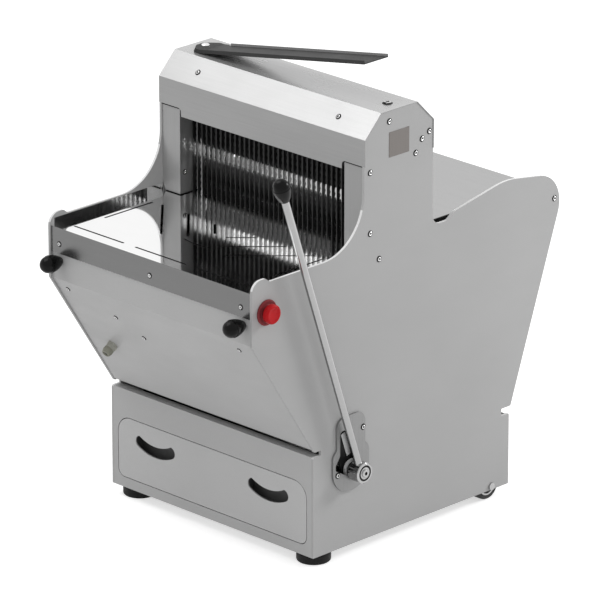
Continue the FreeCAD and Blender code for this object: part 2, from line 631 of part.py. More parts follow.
def hand_slot(middle_x, y0, y1):
    """Cutter for a curved hand slot, lower in its middle, pushed along y."""
    tip = DRAWER_LOW + HAND_SLOT_TIP
    top = DRAWER_LOW + HAND_SLOT_TOP
    low = DRAWER_LOW + HAND_SLOT_LOW
    end = tip - 20.8

    def at(dx, z):
        return V(middle_x + dx, y0, z)

    wide = HAND_SLOT_HALF
    edges = [
        Part.Arc(at(10.5 - wide, tip), at(0, top), at(wide - 10.5, tip)).toShape(),
        Part.Arc(at(wide - 10.5, tip), at(wide, tip - 11.0), at(wide - 5.5, end)).toShape(),
        Part.Arc(at(wide - 5.5, end), at(0, low), at(5.5 - wide, end)).toShape(),
        Part.Arc(at(5.5 - wide, end), at(-wide, tip - 11.0), at(10.5 - wide, tip)).toShape(),
    ]
    return Part.Face(Part.Wire(edges)).extrude(V(0, y1 - y0, 0))


def drawer():
    """Crumb drawer: front, tray, finger cups and runners."""
    slot_x = DRAWER_SIDE_GAP + HAND_SLOT_IN
    cutters = [hand_slot(slot_x, -1.0, 3.0), hand_slot(WIDTH - slot_x, -1.0, 3.0)]
    keep("drawer_front", drawer_outline(0.0, SHEET_T, 0.0).cut(cutters))
    cup_depth = 24.0
    cup_low = DRAWER_LOW + 46.0
    cup_high = DRAWER_LOW + 96.0
    cups = []
    holes = []
    wall = 2.0
    for x in (slot_x, WIDTH - slot_x):
        outer = box(x - 62.0, x + 62.0, SHEET_T, SHEET_T + cup_depth, cup_low, cup_high)
        inner = box(x - 62.0 + wall, x + 62.0 - wall, SHEET_T + wall, SHEET_T + cup_depth - wall,
                    cup_low + wall, cup_high - wall)
        mouth = hand_slot(x, SHEET_T - 1.0, SHEET_T + wall + 1.0)
        cups.append(outer.cut([inner, mouth]))
        holes.append(outer)
    keep("drawer_grip_cups", *cups)
    left = DRAWER_SIDE_GAP + 5.0
    low = DRAWER_LOW + 3.3
    high = LEVER_Z - SHAFT_R - 11.0
    t = 1.5
    shell = box(left, WIDTH - left, SHEET_T, DRAWER_DEPTH, low, high)
    space = box(left + t, WIDTH - left - t, SHEET_T + t, DRAWER_DEPTH - t, low + t, high + 1)
    keep("drawer_tray", shell.cut([space] + holes))
    web = box(IN_L, IN_L + 3.0, 6.0, DRAWER_DEPTH + 15.0, 8.0, 60.0)
    flange = box(IN_L, IN_L + 35.0, 6.0, DRAWER_DEPTH + 15.0, low - NEAR_GAP - 3.0, low - NEAR_GAP)
    runner = web.fuse(flange).removeSplitter()
    keep("drawer_runners", runner, mirrored(runner))


def feet_and_wheels():
    """Rubber feet with their studs, and the rear wheels on their axle bolts."""
    feet = []
    studs = []
    for x, y in FEET:
        foot = rod("z", FOOT_R, -FOOT_HEIGHT, 0.0, x, y)
        feet.append(foot.cut(rod("z", 5.0, -FOOT_HEIGHT + 8, 1.0, x, y)))
        stud = rod("z", 5.0, -FOOT_HEIGHT + 8, 14.0, x, y)
        nut = hexagon(V(x, y, 3.0), UP, 9.0, 8.0)
        studs.append(stud.fuse(nut).removeSplitter())
    keep("front_feet", *feet, *studs)
    start = PANEL_T + 3.0
    hub_r = WHEEL_R - 6.0
    tyre = rod("x", WHEEL_R, start, start + WHEEL_W, WHEEL_Y, WHEEL_Z)
    tyre = tyre.cut(rod("x", hub_r, start - 1, start + WHEEL_W + 1, WHEEL_Y, WHEEL_Z))
    hub = rod("x", hub_r, start + 1.0, start + WHEEL_W - 1.0, WHEEL_Y, WHEEL_Z)
    boss = rod("x", 9.0, start - 1.0, start + WHEEL_W + 1.0, WHEEL_Y, WHEEL_Z)
    hub = hub.fuse(boss).removeSplitter().cut(rod("x", AXLE_R + TURN_GAP, 0, 90, WHEEL_Y, WHEEL_Z))
    keep("wheel_left", tyre, hub)
    keep("wheel_right", mirrored(tyre), mirrored(hub))
    axle = rod("x", AXLE_R, 0.0, start + WHEEL_W + 8.0, WHEEL_Y, WHEEL_Z)
    nut = hexagon(V(start + WHEEL_W + 1.0 + NEAR_GAP, WHEEL_Y, WHEEL_Z), RIGHT, 7.5, 6.0)
    head = rod("x", 7.0, -3.0, 0.0, WHEEL_Y, WHEEL_Z)
    spacer = rod("x", 7.0, PANEL_T, start - 1.0 - NEAR_GAP, WHEEL_Y, WHEEL_Z)
    axle = axle.fuse([nut, head, spacer]).removeSplitter()
    keep("wheel_axles", axle, mirrored(axle))


def blade_places():
    """X of every blade, left to right, centred in the opening."""
    count = int((OPEN_R - OPEN_L) / BLADE_PITCH)
    first = MID_X - (count - 1) * BLADE_PITCH / 2
    return [first + i * BLADE_PITCH for i in range(count)]


def blade(x, y):
    """Blade whose narrow ends start at y, wider between the ways of both frames' bars."""
    half = BLADE_T / 2
    neck = BAR_H + 2 * STROKE + BLADE_STEP
    ends = box(x - half, x + half, y, y + BLADE_DEPTH, FRAME_LOW, FRAME_HIGH)
    middle = box(x - half, x + half, BLADE_MID_Y - BLADE_WIDE / 2, BLADE_MID_Y + BLADE_WIDE / 2,
                 FRAME_LOW + neck, FRAME_HIGH - neck)
    return ends.fuse(middle).removeSplitter()


def blade_frames():
    """Two frames with alternate blades, their yokes, and the guides they slide in."""
    places = blade_places()
    right = WIDTH - STILE_OUT
    sets = (
        ("a", FRAME_A_Y, FRAME_A_Y + BAR_T, YOKE_X[0], places[0::2]),
        ("b", FRAME_B_Y, FRAME_B_Y - BLADE_DEPTH, YOKE_X[1], places[1::2]),
    )
    for letter, y0, blade_y, yoke_x, mine in sets:
        y1 = y0 + BAR_T
        parts = [
            box(STILE_OUT, STILE_OUT + STILE_W, y0, y1, FRAME_LOW, FRAME_HIGH),
            box(right - STILE_W, right, y0, y1, FRAME_LOW, FRAME_HIGH),
            box(STILE_OUT, right, y0, y1, FRAME_HIGH - BAR_H, FRAME_HIGH),
            box(STILE_OUT, right, y0, y1, FRAME_LOW, FRAME_LOW + BAR_H),
        ]
        parts.append(yoke(yoke_x, y0, y1))
        keep("blade_frame_" + letter, parts[0].fuse(parts[1:]).removeSplitter())
        keep("blades_" + letter, *[blade(x, blade_y) for x in mine])
    low = FRAME_LOW + 15.0
    high = FRAME_HIGH + 5.0
    grooves = (
        (GUIDE_FRONT, FRAME_A_Y - RUN_GAP),
        (FRAME_A_Y + BAR_T + RUN_GAP, FRAME_B_Y - RUN_GAP),
        (FRAME_B_Y + BAR_T + RUN_GAP, GUIDE_BACK),
    )
    lips = [box(STILE_OUT - RUN_GAP, STILE_OUT + 7.0, y0, y1, low, high) for y0, y1 in grooves]
    back = box(GUIDE_OUT, STILE_OUT - RUN_GAP, GUIDE_FRONT, GUIDE_BACK, low, high)
    foot = box(IN_L, GUIDE_OUT, GUIDE_FRONT, GUIDE_BACK, TABLE_Z + 29.0, high)
    guide = back.fuse(lips + [foot]).removeSplitter()
    keep("frame_guides", guide, mirrored(guide))


def yoke(x, y0, y1):
    """Plate with a level slot, hanging from a frame's lower bar over its crank pin."""
    reach = STROKE + PIN_R + 2.0
    half = reach + 12.0
    low = CRANK_Z - PIN_R - YOKE_PLAY - 12.0
    plate = box(x, x + YOKE_T, BLADE_MID_Y - half, BLADE_MID_Y + half, low, CRANK_Z + 60.0)
    hanger = box(x, x + YOKE_T, y0, y1, CRANK_Z + 50.0, FRAME_LOW + 5.0)
    window = box(x - 1, x + YOKE_T + 1, BLADE_MID_Y - reach, BLADE_MID_Y + reach,
                 CRANK_Z - PIN_R - YOKE_PLAY, CRANK_Z + PIN_R + YOKE_PLAY)
    return plate.fuse(hanger).cut(window).removeSplitter()


def crank_drive():
    """Crankshaft in its stands, two pulleys, the belt and the motor."""
    y = BLADE_MID_Y
    z = CRANK_Z
    stand_x = (45.0, WIDTH - 53.0)
    web = 6.0
    side = 4.0
    web_r = STROKE + PIN_R + 4.0
    shaft_end = stand_x[1] + 8.0 + 4.0
    parts = []
    cursor = stand_x[0] - 4.0
    for x, offset in ((YOKE_X[0], STROKE), (YOKE_X[1], -STROKE)):
        pin0 = x - side
        pin1 = x + YOKE_T + side
        parts.append(rod("x", CRANK_R, cursor, pin0 - web, y, z))
        parts.append(rod("x", web_r, pin0 - web, pin0, y, z))
        parts.append(rod("x", PIN_R, pin0, pin1, y + offset, z))
        parts.append(rod("x", web_r, pin1, pin1 + web, y, z))
        cursor = pin1 + web
    parts.append(rod("x", CRANK_R, cursor, shaft_end, y, z))
    keep("crankshaft", parts[0].fuse(parts[1:]).removeSplitter())
    stands = []
    for x in stand_x:
        foot = box(x - 4.0, x + 12.0, y - 34.0, y + 34.0, DRIVE_PLATE_Z, DRIVE_PLATE_Z + 6.0)
        post = prism("x", x, x + 8.0, [
            (y - 30.0, DRIVE_PLATE_Z), (y + 30.0, DRIVE_PLATE_Z), (y + 26.0, z + 26.0, 20.0),
            (y - 26.0, z + 26.0, 20.0),
        ])
        stand = foot.fuse(post).removeSplitter()
        stands.append(stand.cut(rod("x", CRANK_R + TURN_GAP, x - 5, x + 14, y, z)))
    keep("bearing_stands", *stands)
    b0, b1 = BELT_X
    keep("crank_pulley", pulley(CRANK_PULLEY_R, y, z, CRANK_R))
    spindle = rod("x", SPINDLE_R, b0 - 5.0, MOTOR_X[0] + 10.0, MOTOR_Y, MOTOR_Z)
    keep("motor_pulley", pulley(MOTOR_PULLEY_R, MOTOR_Y, MOTOR_Z, SPINDLE_R), spindle)
    keep("drive_belt", belt(y, z, b0, b1))
    body = rod("x", MOTOR_R, MOTOR_X[0] + 6.0, MOTOR_X[1] - 40.0, MOTOR_Y, MOTOR_Z)
    nose = rod("x", MOTOR_R - 12.0, MOTOR_X[0], MOTOR_X[0] + 6.0, MOTOR_Y, MOTOR_Z)
    fan = rod("x", MOTOR_R - 3.0, MOTOR_X[1] - 40.0, MOTOR_X[1], MOTOR_Y, MOTOR_Z)
    motor = body.fuse([nose, fan]).removeSplitter()
    bore = rod("x", SPINDLE_R + NEAR_GAP, MOTOR_X[0] - 1, MOTOR_X[0] + 10.5, MOTOR_Y, MOTOR_Z)
    motor = motor.cut(bore)
    keep("motor", motor)


def pulley(radius, y, z, bore):
    """Flanged belt pulley on a shaft along x."""
    b0, b1 = BELT_X
    wheel = rod("x", radius, b0 - 0.5, b1 + 0.5, y, z)
    flanges = [rod("x", radius + 3.0, x, x + 2.5, y, z) for x in (b0 - 3.0, b1 + 0.5)]
    return wheel.fuse(flanges).removeSplitter().cut(rod("x", bore, b0 - 5, b1 + 5, y, z))


def belt(y, z, x0, x1):
    """Flat belt round both pulleys, a small gap off each."""

    def loop(grow):
        r1 = CRANK_PULLEY_R + grow
        r2 = MOTOR_PULLEY_R + grow
        dy = MOTOR_Y - y
        dz = MOTOR_Z - z
        span = math.hypot(dy, dz)
        along = math.atan2(dz, dy)
        lean = math.acos((r1 - r2) / span)
        points = []
        for side in (1, -1):
            turn = along + side * lean
            points.append((V(x0, y + r1 * math.cos(turn), z + r1 * math.sin(turn)),
                           V(x0, MOTOR_Y + r2 * math.cos(turn), MOTOR_Z + r2 * math.sin(turn))))
        far1 = V(x0, y - r1 * math.cos(along), z - r1 * math.sin(along))
        far2 = V(x0, MOTOR_Y + r2 * math.cos(along), MOTOR_Z + r2 * math.sin(along))
        edges = [
            Part.LineSegment(points[0][0], points[0][1]).toShape(),
            Part.Arc(points[0][1], far2, points[1][1]).toShape(),
            Part.LineSegment(points[1][1], points[1][0]).toShape(),
            Part.Arc(points[1][0], far1, points[0][0]).toShape(),
        ]
        return Part.Face(Part.Wire(edges)).extrude(V(x1 - x0, 0, 0))

    return loop(NEAR_GAP + BELT_T).cut(loop(NEAR_GAP))


def lever():
    """Hand lever, its shaft and the two arms that carry the pusher's pins."""
    arm_x = IN_R - ARM_GAP - ARM_T
    shaft = rod("x", SHAFT_R, 0.5, WIDTH + 31.0, LEVER_Y, LEVER_Z)
    keep("lever_shaft", shaft)
    far = DRIVE_PIN_Z - LEVER_Z
    half = 17.5
    slot_y = LEVER_Y + SLOT_SHIFT
    arm = prism("x", arm_x, arm_x + ARM_T - ARM_RIB_T, [
        (LEVER_Y - 20.0, LEVER_Z - 20.0, 19.0), (LEVER_Y + 20.0, LEVER_Z - 20.0, 19.0),
        (slot_y + half, LEVER_Z + far + 72.0, 12.0), (slot_y - half, LEVER_Z + far + 72.0, 12.0),
    ])
    window = prism("x", arm_x - 1, arm_x + ARM_T + 1, [
        (slot_y - 11.5, LEVER_Z + far - 9.0, 6.0), (slot_y + 11.5, LEVER_Z + far - 9.0, 6.0),
        (slot_y + 11.5, LEVER_Z + far + 64.0, 6.0), (slot_y - 11.5, LEVER_Z + far + 64.0, 6.0),
    ])
    rib = box(arm_x + ARM_T - ARM_RIB_T, arm_x + ARM_T, LEVER_Y, LEVER_Y + 10.5,
              LEVER_Z + 26.0, LEVER_Z + 72.0)
    arm = arm.fuse(rib).cut([window, rod("x", SHAFT_R + TURN_GAP, 0, WIDTH, LEVER_Y, LEVER_Z)])
    hub_x0 = WIDTH + 7.0
    hub_x1 = WIDTH + 31.0
    rod_x = WIDTH + LEVER_ROD_X
    hub = rod("x", 19.0, hub_x0, hub_x1, LEVER_Y, LEVER_Z)
    grip = rod("z", LEVER_ROD_R, LEVER_Z + 15.0, LEVER_Z + LEVER_LENGTH, rod_x, LEVER_Y)
    hub = hub.cut([rod("x", SHAFT_R + TURN_GAP, 0, WIDTH + 60, LEVER_Y, LEVER_Z),
                   rod("z", LEVER_ROD_R + TURN_GAP, LEVER_Z, LEVER_Z + 60.0, rod_x, LEVER_Y)])
    knob = egg(KNOB_R, 44.0)
    knob = knob.cut(Part.makeCylinder(LEVER_ROD_R + TURN_GAP, 11.0 + TURN_GAP, V(0, 0, -1), UP))
    knob.translate(V(rod_x, LEVER_Y, LEVER_Z + LEVER_LENGTH - 10.0))
    for name, shape in (("lever_rod", grip), ("lever_hub", hub), ("lever_knob", knob)):
        shape.rotate(V(0, LEVER_Y, LEVER_Z), RIGHT, LEVER_LEAN)
        keep(name, shape)
    arm.rotate(V(0, LEVER_Y, LEVER_Z), RIGHT, LEVER_LEAN)
    keep("lever_arms", arm, mirrored(arm))
    bracket_plate()


def bracket_plate():
    """Plate with a window on the right panel, round the lever's shaft, and its screws."""
    low = LEVER_Z - 37.0
    shoulder = LEVER_Z + 41.0
    high = LEVER_Z + 105.0
    middle = LEVER_Y + BRACKET_MID
    plate = prism("x", WIDTH, WIDTH + BRACKET_T, [
        (middle - 45.0, low, 42.0), (middle + 45.0, low, 42.0), (middle + 45.0, shoulder - 5.0, 18.0),
        (middle + 35.0, shoulder + 5.0, 6.0), (middle + 35.0, high, 20.0), (middle - 35.0, high, 20.0),
        (middle - 35.0, shoulder + 5.0, 6.0), (middle - 45.0, shoulder - 5.0, 18.0),
    ])
    cutters = [
        rod("x", SHAFT_R + 3.0, WIDTH - 1, WIDTH + 9, LEVER_Y, LEVER_Z),
        lever_window(WIDTH - 1, WIDTH + BRACKET_T + 1),
    ]
    depth = BRACKET_T + PANEL_T
    for y, z in BRACKET_SCREWS:
        spot = V(WIDTH + BRACKET_T, LEVER_Y + y, LEVER_Z + z)
        fixings["panel_screws"].append(screw(spot, RIGHT, 4.5, PANEL_SHANK_R, depth))
        cutters.append(screw_hole(spot, RIGHT, PANEL_SHANK_R, depth))
    keep("lever_bracket_plate", plate.cut(cutters))


def egg(radius, length):
    """Egg-shaped knob standing on its narrow end at the origin, along z."""
    neck = radius * 0.55
    tip = 2.0
    wide = length - radius
    edges = [
        Part.LineSegment(V(0, 0, 0), V(neck, 0, 0)).toShape(),
        Part.Arc(V(neck, 0, 0), V(radius * 0.88, 0, wide * 0.45), V(radius, 0, wide)).toShape(),
        Part.Arc(V(radius, 0, wide), V(radius * 0.75, 0, wide + radius * 0.7), V(tip, 0, length)).toShape(),
        Part.LineSegment(V(tip, 0, length), V(0, 0, length)).toShape(),
        Part.LineSegment(V(0, 0, length), V(0, 0, 0)).toShape(),
    ]
    return turned(edges, V(0, 0, 0), UP)


def pusher():
    """Slotted pusher plate on its beam, with the carriages that run on the guide rods."""
    slope = math.tan(math.radians(PUSHER_LEAN))
    t = 3.0
    z0 = TABLE_Z + 1.0
    z1 = TABLE_Z + PUSHER_RISE

    def y_at(z):
        return PUSHER_FOOT_Y - slope * (z - z0)

    left = OPEN_L + 2.0
    right = OPEN_R - 2.0
    plate = prism("x", left, right, [
        (y_at(z0), z0), (y_at(z0) + t, z0), (y_at(z1) + t, z1), (y_at(z1), z1),
    ])
    front = y_at(z1) - 5.0
    back = y_at(z0) + 10.0
    cutters = [box(x - 2.0, x + 2.0, front, back, z0 + 3.0, TABLE_Z + 61.0) for x in blade_places()]
    cutters.append(box(left + 10.0, right - 10.0, front, back, TABLE_Z + 61.0, TABLE_Z + 84.0))
    keep("pusher_comb", plate.cut(cutters))
    beam_y = PUSHER_FOOT_Y + t + 11.0
    block = (ROD_IN - 11.5, ROD_IN + 11.5)
    bar = box(block[0], WIDTH - block[0], beam_y, beam_y + 18.0, TABLE_Z + 4.0, TABLE_Z + 34.0)
    arms = []
    for x in (left + 8.0, right - 20.0):
        arms.append(prism("x", x, x + 12.0, [
            (y_at(z1 - 6.0) + t, z1 - 6.0), (y_at(z0 + 8.0) + t, z0 + 8.0),
            (beam_y + 18.0, z0 + 8.0), (beam_y + 18.0, TABLE_Z + 34.0),
        ]))
    leg = box(block[0], block[1], beam_y, beam_y + 18.0, ROD_Z + 14.0, TABLE_Z + 4.0)
    keep("pusher_beam", bar.fuse(arms + [leg, mirrored(leg)]).removeSplitter())
    bar_x = (block[0] - 7.5, block[0] - 0.5)
    runner = box(block[0], block[1], 190.0, 240.0, ROD_Z - 12.0, ROD_Z + 14.0)
    runner = runner.cut(rod("y", ROD_R + TURN_GAP, 180, 250, ROD_IN, ROD_Z))
    web = box(bar_x[0], block[0], 190.0, 240.0, DRIVE_PIN_Z - 8.0, ROD_Z + 10.0)
    arm = box(bar_x[0], bar_x[1], DRIVE_PIN_Y - 12.0, 240.0, DRIVE_PIN_Z - 8.0, DRIVE_PIN_Z + 8.0)
    pin = rod("x", DRIVE_PIN_R, IN_L + 0.6, bar_x[0] + 1.0, DRIVE_PIN_Y, DRIVE_PIN_Z)
    carriage = runner.fuse([web, arm, pin]).removeSplitter()
    keep("pusher_carriages", carriage, mirrored(carriage))


def handles():
    """Two pull-out carrying handles in their guide tubes."""
    face_y = TABLE_FRONT + SHEET_T
    inner_y = face_y + SHEET_T
    knob_back = TABLE_FRONT - 0.6
    tube = rod("y", HANDLE_ROD_R + 3.0, inner_y, inner_y + 182.0, HANDLE_IN, HANDLE_Z)
    tube = tube.cut(rod("y", HANDLE_ROD_R + TURN_GAP, inner_y - 1, inner_y + 183.0, HANDLE_IN, HANDLE_Z))
    keep("handle_guide_tubes", tube, mirrored(tube))
    bar = rod("y", HANDLE_ROD_R, knob_back - 12.0, knob_back - 12.0 + HANDLE_LENGTH, HANDLE_IN, HANDLE_Z)
    knob = egg(KNOB_R + 0.4, HANDLE_KNOB_L)
    knob = knob.cut(Part.makeCylinder(HANDLE_ROD_R + TURN_GAP, 13.0 + TURN_GAP, V(0, 0, -1), UP))
    knob.rotate(V(0, 0, 0), RIGHT, 90)
    knob.translate(V(HANDLE_IN, knob_back, HANDLE_Z))
    keep("handle_rod_left", bar)
    keep("handle_knob_left", knob)
    keep("handle_rod_right", mirrored(bar))
    keep("handle_knob_right", mirrored(knob))


def stop_button():
    """Emergency stop: fixed collar, pressed head and its contact block."""
    face = WIDTH
    collar = rod("x", 23.3, face, face + 3.5, STOP_Y, STOP_Z)
    collar = collar.cut(rod("x", 10.0 + NEAR_GAP, face - 1, face + 5, STOP_Y, STOP_Z))
    keep("estop_collar", collar)
    head = button_head(face + 8.0, 17.5, 11.0)
    stem = rod("x", 10.0, face - 1.0, face + 8.5, STOP_Y, STOP_Z)
    keep("estop_button", head.fuse(stem).removeSplitter())


def stop_contact_block():
    """Contact block behind the right panel, with room for the button's stem."""
    block = box(IN_R - 40.0, IN_R, STOP_Y - 20.0, STOP_Y + 20.0, STOP_Z - 11.0, STOP_Z + 11.0)
    return block.cut(rod("x", 10.0 + NEAR_GAP, IN_R - 2.0, IN_R + 1, STOP_Y, STOP_Z))


def button_head(start, radius, length):
    """Turned button head with a rounded rim, from start along x."""
    edge = 3.0
    end = start + length
    round_in = edge * (1 - math.cos(math.radians(45)))

    def at(x, r):
        return V(x, STOP_Y + r, STOP_Z)

    edges = [
        Part.LineSegment(at(start, 0), at(start, radius - 1.0)).toShape(),
        Part.LineSegment(at(start, radius - 1.0), at(start + 2.0, radius)).toShape(),
        Part.LineSegment(at(start + 2.0, radius), at(end - edge, radius)).toShape(),
        Part.Arc(
            at(end - edge, radius), at(end - round_in, radius - round_in), at(end, radius - edge)
        ).toShape(),
        Part.LineSegment(at(end, radius - edge), at(end, 0)).toShape(),
        Part.LineSegment(at(end, 0), at(start, 0)).toShape(),
    ]
    return turned(edges, V(0, STOP_Y, STOP_Z), RIGHT)


def rating_plate():
    """Blank plate on the right panel."""
    keep("data_plate", box(WIDTH, WIDTH + 0.6, 186.2, 236.2, TABLE_Z + 167.2, TABLE_Z + 213.0))


def place_and_write():
    """Move the origin under the machine's middle, on the floor, and write one file per node."""
    whole = FreeCAD.BoundBox()
    for shape in pieces.values():
        whole.add(shape.optimalBoundingBox(False, False))
    shift = V(-(whole.XMin + whole.XMax) / 2, -(whole.YMin + whole.YMax) / 2, -whole.ZMin)
    os.makedirs("parts", exist_ok=True)
    for name, shape in pieces.items():
        shape.translate(shift)
        shape.exportStep("parts/" + name + ".step")
    print("nodes", len(pieces))
    print("shift", [round(v, 3) for v in shift])
    print("size", round(whole.XLength, 2), round(whole.YLength, 2), round(whole.ZLength, 2))


side_panels()
hood()
posts()
tables()
base()
drawer()
feet_and_wheels()
blade_frames()
crank_drive()
lever()
pusher()
handles()
stop_button()
rating_plate()
for fixing_name, group in fixings.items():
    keep(fixing_name, *group)
place_and_write()
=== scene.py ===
"""Looks of an electric bread slicer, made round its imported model.

Sizes are written in millimetres, as on the machine's drawing: X from the left panel's outside, Y
from the base's front and Z from the panels' lower edge. Everything in the scene is in metres, in the
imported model's frame, and spot() goes from one to the other.
"""
import logging
import math
from dataclasses import dataclass
from enum import Enum

import bmesh
import bpy
import numpy as np
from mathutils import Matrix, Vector


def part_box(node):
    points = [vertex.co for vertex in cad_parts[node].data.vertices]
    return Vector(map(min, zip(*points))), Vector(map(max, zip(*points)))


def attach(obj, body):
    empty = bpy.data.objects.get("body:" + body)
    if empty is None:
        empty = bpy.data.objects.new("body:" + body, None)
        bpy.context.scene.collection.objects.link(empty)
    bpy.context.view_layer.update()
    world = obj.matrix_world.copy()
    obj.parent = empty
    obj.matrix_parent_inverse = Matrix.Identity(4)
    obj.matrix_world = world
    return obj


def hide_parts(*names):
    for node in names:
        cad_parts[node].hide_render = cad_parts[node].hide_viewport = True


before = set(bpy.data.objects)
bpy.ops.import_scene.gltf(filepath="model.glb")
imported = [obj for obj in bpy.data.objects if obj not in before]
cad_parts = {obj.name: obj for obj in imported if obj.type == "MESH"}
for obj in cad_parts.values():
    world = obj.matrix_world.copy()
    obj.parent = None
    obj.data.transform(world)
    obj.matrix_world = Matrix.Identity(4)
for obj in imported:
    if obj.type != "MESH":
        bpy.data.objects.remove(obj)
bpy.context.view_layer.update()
LOG = logging.getLogger("bread_slicer")
FINISH_NAME = "finish_"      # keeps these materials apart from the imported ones
DRAWING_ORIGIN = Vector((-271.514, -219.007, 21.0))
TO_RIGHT = Vector((1, 0, 0))
TO_FRONT = Vector((0, -1, 0))
UPWARD = Vector((0, 0, 1))
METRE = 1000                 # in millimetres
NEAR = 0.05                  # least gap between two pieces that all but touch, in millimetres
ANYWHERE = -9.0              # in metres, so far back that every face lies past it
SHARP_EDGE = math.radians(33)
BRUSHED_RUN = 9.0            # brushing lines in a metre along the brushing
BRUSHED_FINE = 1400.0        # and across it
FLUTE_DEPTH = 0.45           # in millimetres
Pair = tuple[float, float]
Triple = tuple[float, float, float]
Socket = bpy.types.NodeSocket


def spot(x: float, y: float, z: float) -> Vector:
    """Place in the scene of a place on the drawing, given in millimetres."""
    return (Vector((x, y, z)) + DRAWING_ORIGIN) / METRE


# Finishes


@dataclass(frozen=True)
class Pattern:
    """Cloudy texture: how many clouds are in a metre along X, Y and Z, and how many finer layers it has."""

    per_metre: Triple
    layers: float


def even(per_metre: float, layers: float) -> Pattern:
    """Cloudy texture that is the same along X, Y and Z."""
    return Pattern((per_metre, per_metre, per_metre), layers)


def add_node(tree: bpy.types.NodeTree, kind: str, **values: object) -> bpy.types.Node:
    """Add a shader node.

    Args:
        tree: node tree that it goes into.
        kind: its type, after the word ShaderNode.
        values: sockets, with underscores for spaces, and in small letters the node's own settings.

    Returns:
        The node.
    """
    node = tree.nodes.new("ShaderNode" + kind)
    for name, value in values.items():
        if name.islower():
            setattr(node, name, value)
        else:
            node.inputs[name.replace("_", " ")].default_value = value
    return node


class Coat:
    """One material while its nodes are put together. Textures are read in metres."""

    def __init__(self, name: str) -> None:
        """Start a material with its shader alone.

        Args:
            name: its name, without the word that every name here starts with.
        """
        self.material = bpy.data.materials.new(FINISH_NAME + name)
        self.material.use_nodes = True
        self.material.node_tree.nodes.clear()
        self.shader = self.add("BsdfPrincipled")
        self.join(self.shader.outputs[0], self.add("OutputMaterial").inputs[0])
        self.place = self.add("TexCoord").outputs["Object"]

    def add(self, kind: str, **values: object) -> bpy.types.Node:
        """Add a node to the material, as add_node does."""
        return add_node(self.material.node_tree, kind, **values)

    def join(self, source: Socket, target: Socket) -> None:
        """Link two sockets."""
        self.material.node_tree.links.new(source, target)

    def fix(self, **values: object) -> None:
        """Set the shader's own sockets; underscores in the names stand for spaces."""
        for name, value in values.items():
            self.shader.inputs[name.replace("_", " ")].default_value = value

    def mottle(self, pattern: Pattern) -> Socket:
        """Put a cloudy texture into the material.

        Args:
            pattern: the texture.

        Returns:
            A socket that runs from about 0.3 to 0.7.
        """
        scale = self.add("Mapping", Scale=pattern.per_metre)
        self.join(self.place, scale.inputs["Vector"])
        noise = self.add("TexNoise", Scale=1.0, Detail=pattern.layers)
        self.join(scale.outputs[0], noise.inputs["Vector"])
        return noise.outputs[0]

    def pits(self, per_metre: float) -> Socket:
        """Put rounded cells into the material.

        Args:
            per_metre: how many there are in a metre.

        Returns:
            A socket with the distance to a cell's middle.
        """
        cells = self.add("TexVoronoi", Scale=per_metre)
        self.join(self.place, cells.inputs["Vector"])
        return cells.outputs["Distance"]

    def level(self, source: Socket, low: float, high: float, start: float = 0.32,
              end: float = 0.68) -> Socket:
        """Stretch a texture between two levels.

        Args:
            source: the texture's socket.
            low: level where the texture is at start or under.
            high: level where it is at end or over.
            start: lower end of the texture's own span.
            end: upper end of that span.

        Returns:
            The stretched texture's socket.
        """
        span = self.add("MapRange", From_Min=start, From_Max=end, To_Min=low, To_Max=high)
        self.join(source, span.inputs["Value"])
        return span.outputs["Result"]

    def product(self, first: Socket, second: Socket) -> Socket:
        """Multiply two textures.

        Args:
            first: one texture's socket.
            second: the other's.

        Returns:
            The product's socket.
        """
        times = self.add("Math", operation="MULTIPLY")
        self.join(first, times.inputs[0])
        self.join(second, times.inputs[1])
        return times.outputs[0]

    def shade(self, colour: Triple, *textures: Socket) -> None:
        """Colour the surface.

        Args:
            colour: the plain colour.
            textures: sockets near 1, whose product makes it lighter and darker.
        """
        strength = textures[0]
        for texture in textures[1:]:
            strength = self.product(strength, texture)
        scaled = self.add("VectorMath", operation="SCALE")
        scaled.inputs[0].default_value = colour
        self.join(strength, scaled.inputs["Scale"])
        self.join(scaled.outputs[0], self.shader.inputs["Base Color"])

    def roughen(self, source: Socket, low: float, high: float) -> None:
        """Let the texture move the roughness between two levels."""
        self.join(self.level(source, low, high), self.shader.inputs["Roughness"])

    def raise_by(self, *heights: tuple[Socket, float]) -> None:
        """Bump the surface.

        Args:
            heights: textures, each with its height in millimetres.
        """
        before = None
        for source, height in heights:
            bump = self.add("Bump", Distance=height / METRE)
            self.join(source, bump.inputs["Height"])
            if before is not None:
                self.join(before, bump.inputs["Normal"])
            before = bump.outputs[0]
        self.join(before, self.shader.inputs["Normal"])


class Grain(Enum):
    """Direction in which a sheet was brushed, as lines in a metre along X, Y and Z."""

    ACROSS = (BRUSHED_RUN, BRUSHED_FINE, BRUSHED_FINE)
    UPRIGHT = (BRUSHED_FINE, BRUSHED_FINE, BRUSHED_RUN)
    ALL_ROUND = (1100.0, 1100.0, 1100.0)

    def bundled(self, lines: float) -> tuple[float, ...]:
        """The same direction with so many fine lines in each wider one."""
        return tuple(v if v == BRUSHED_RUN else v / lines for v in self.value)


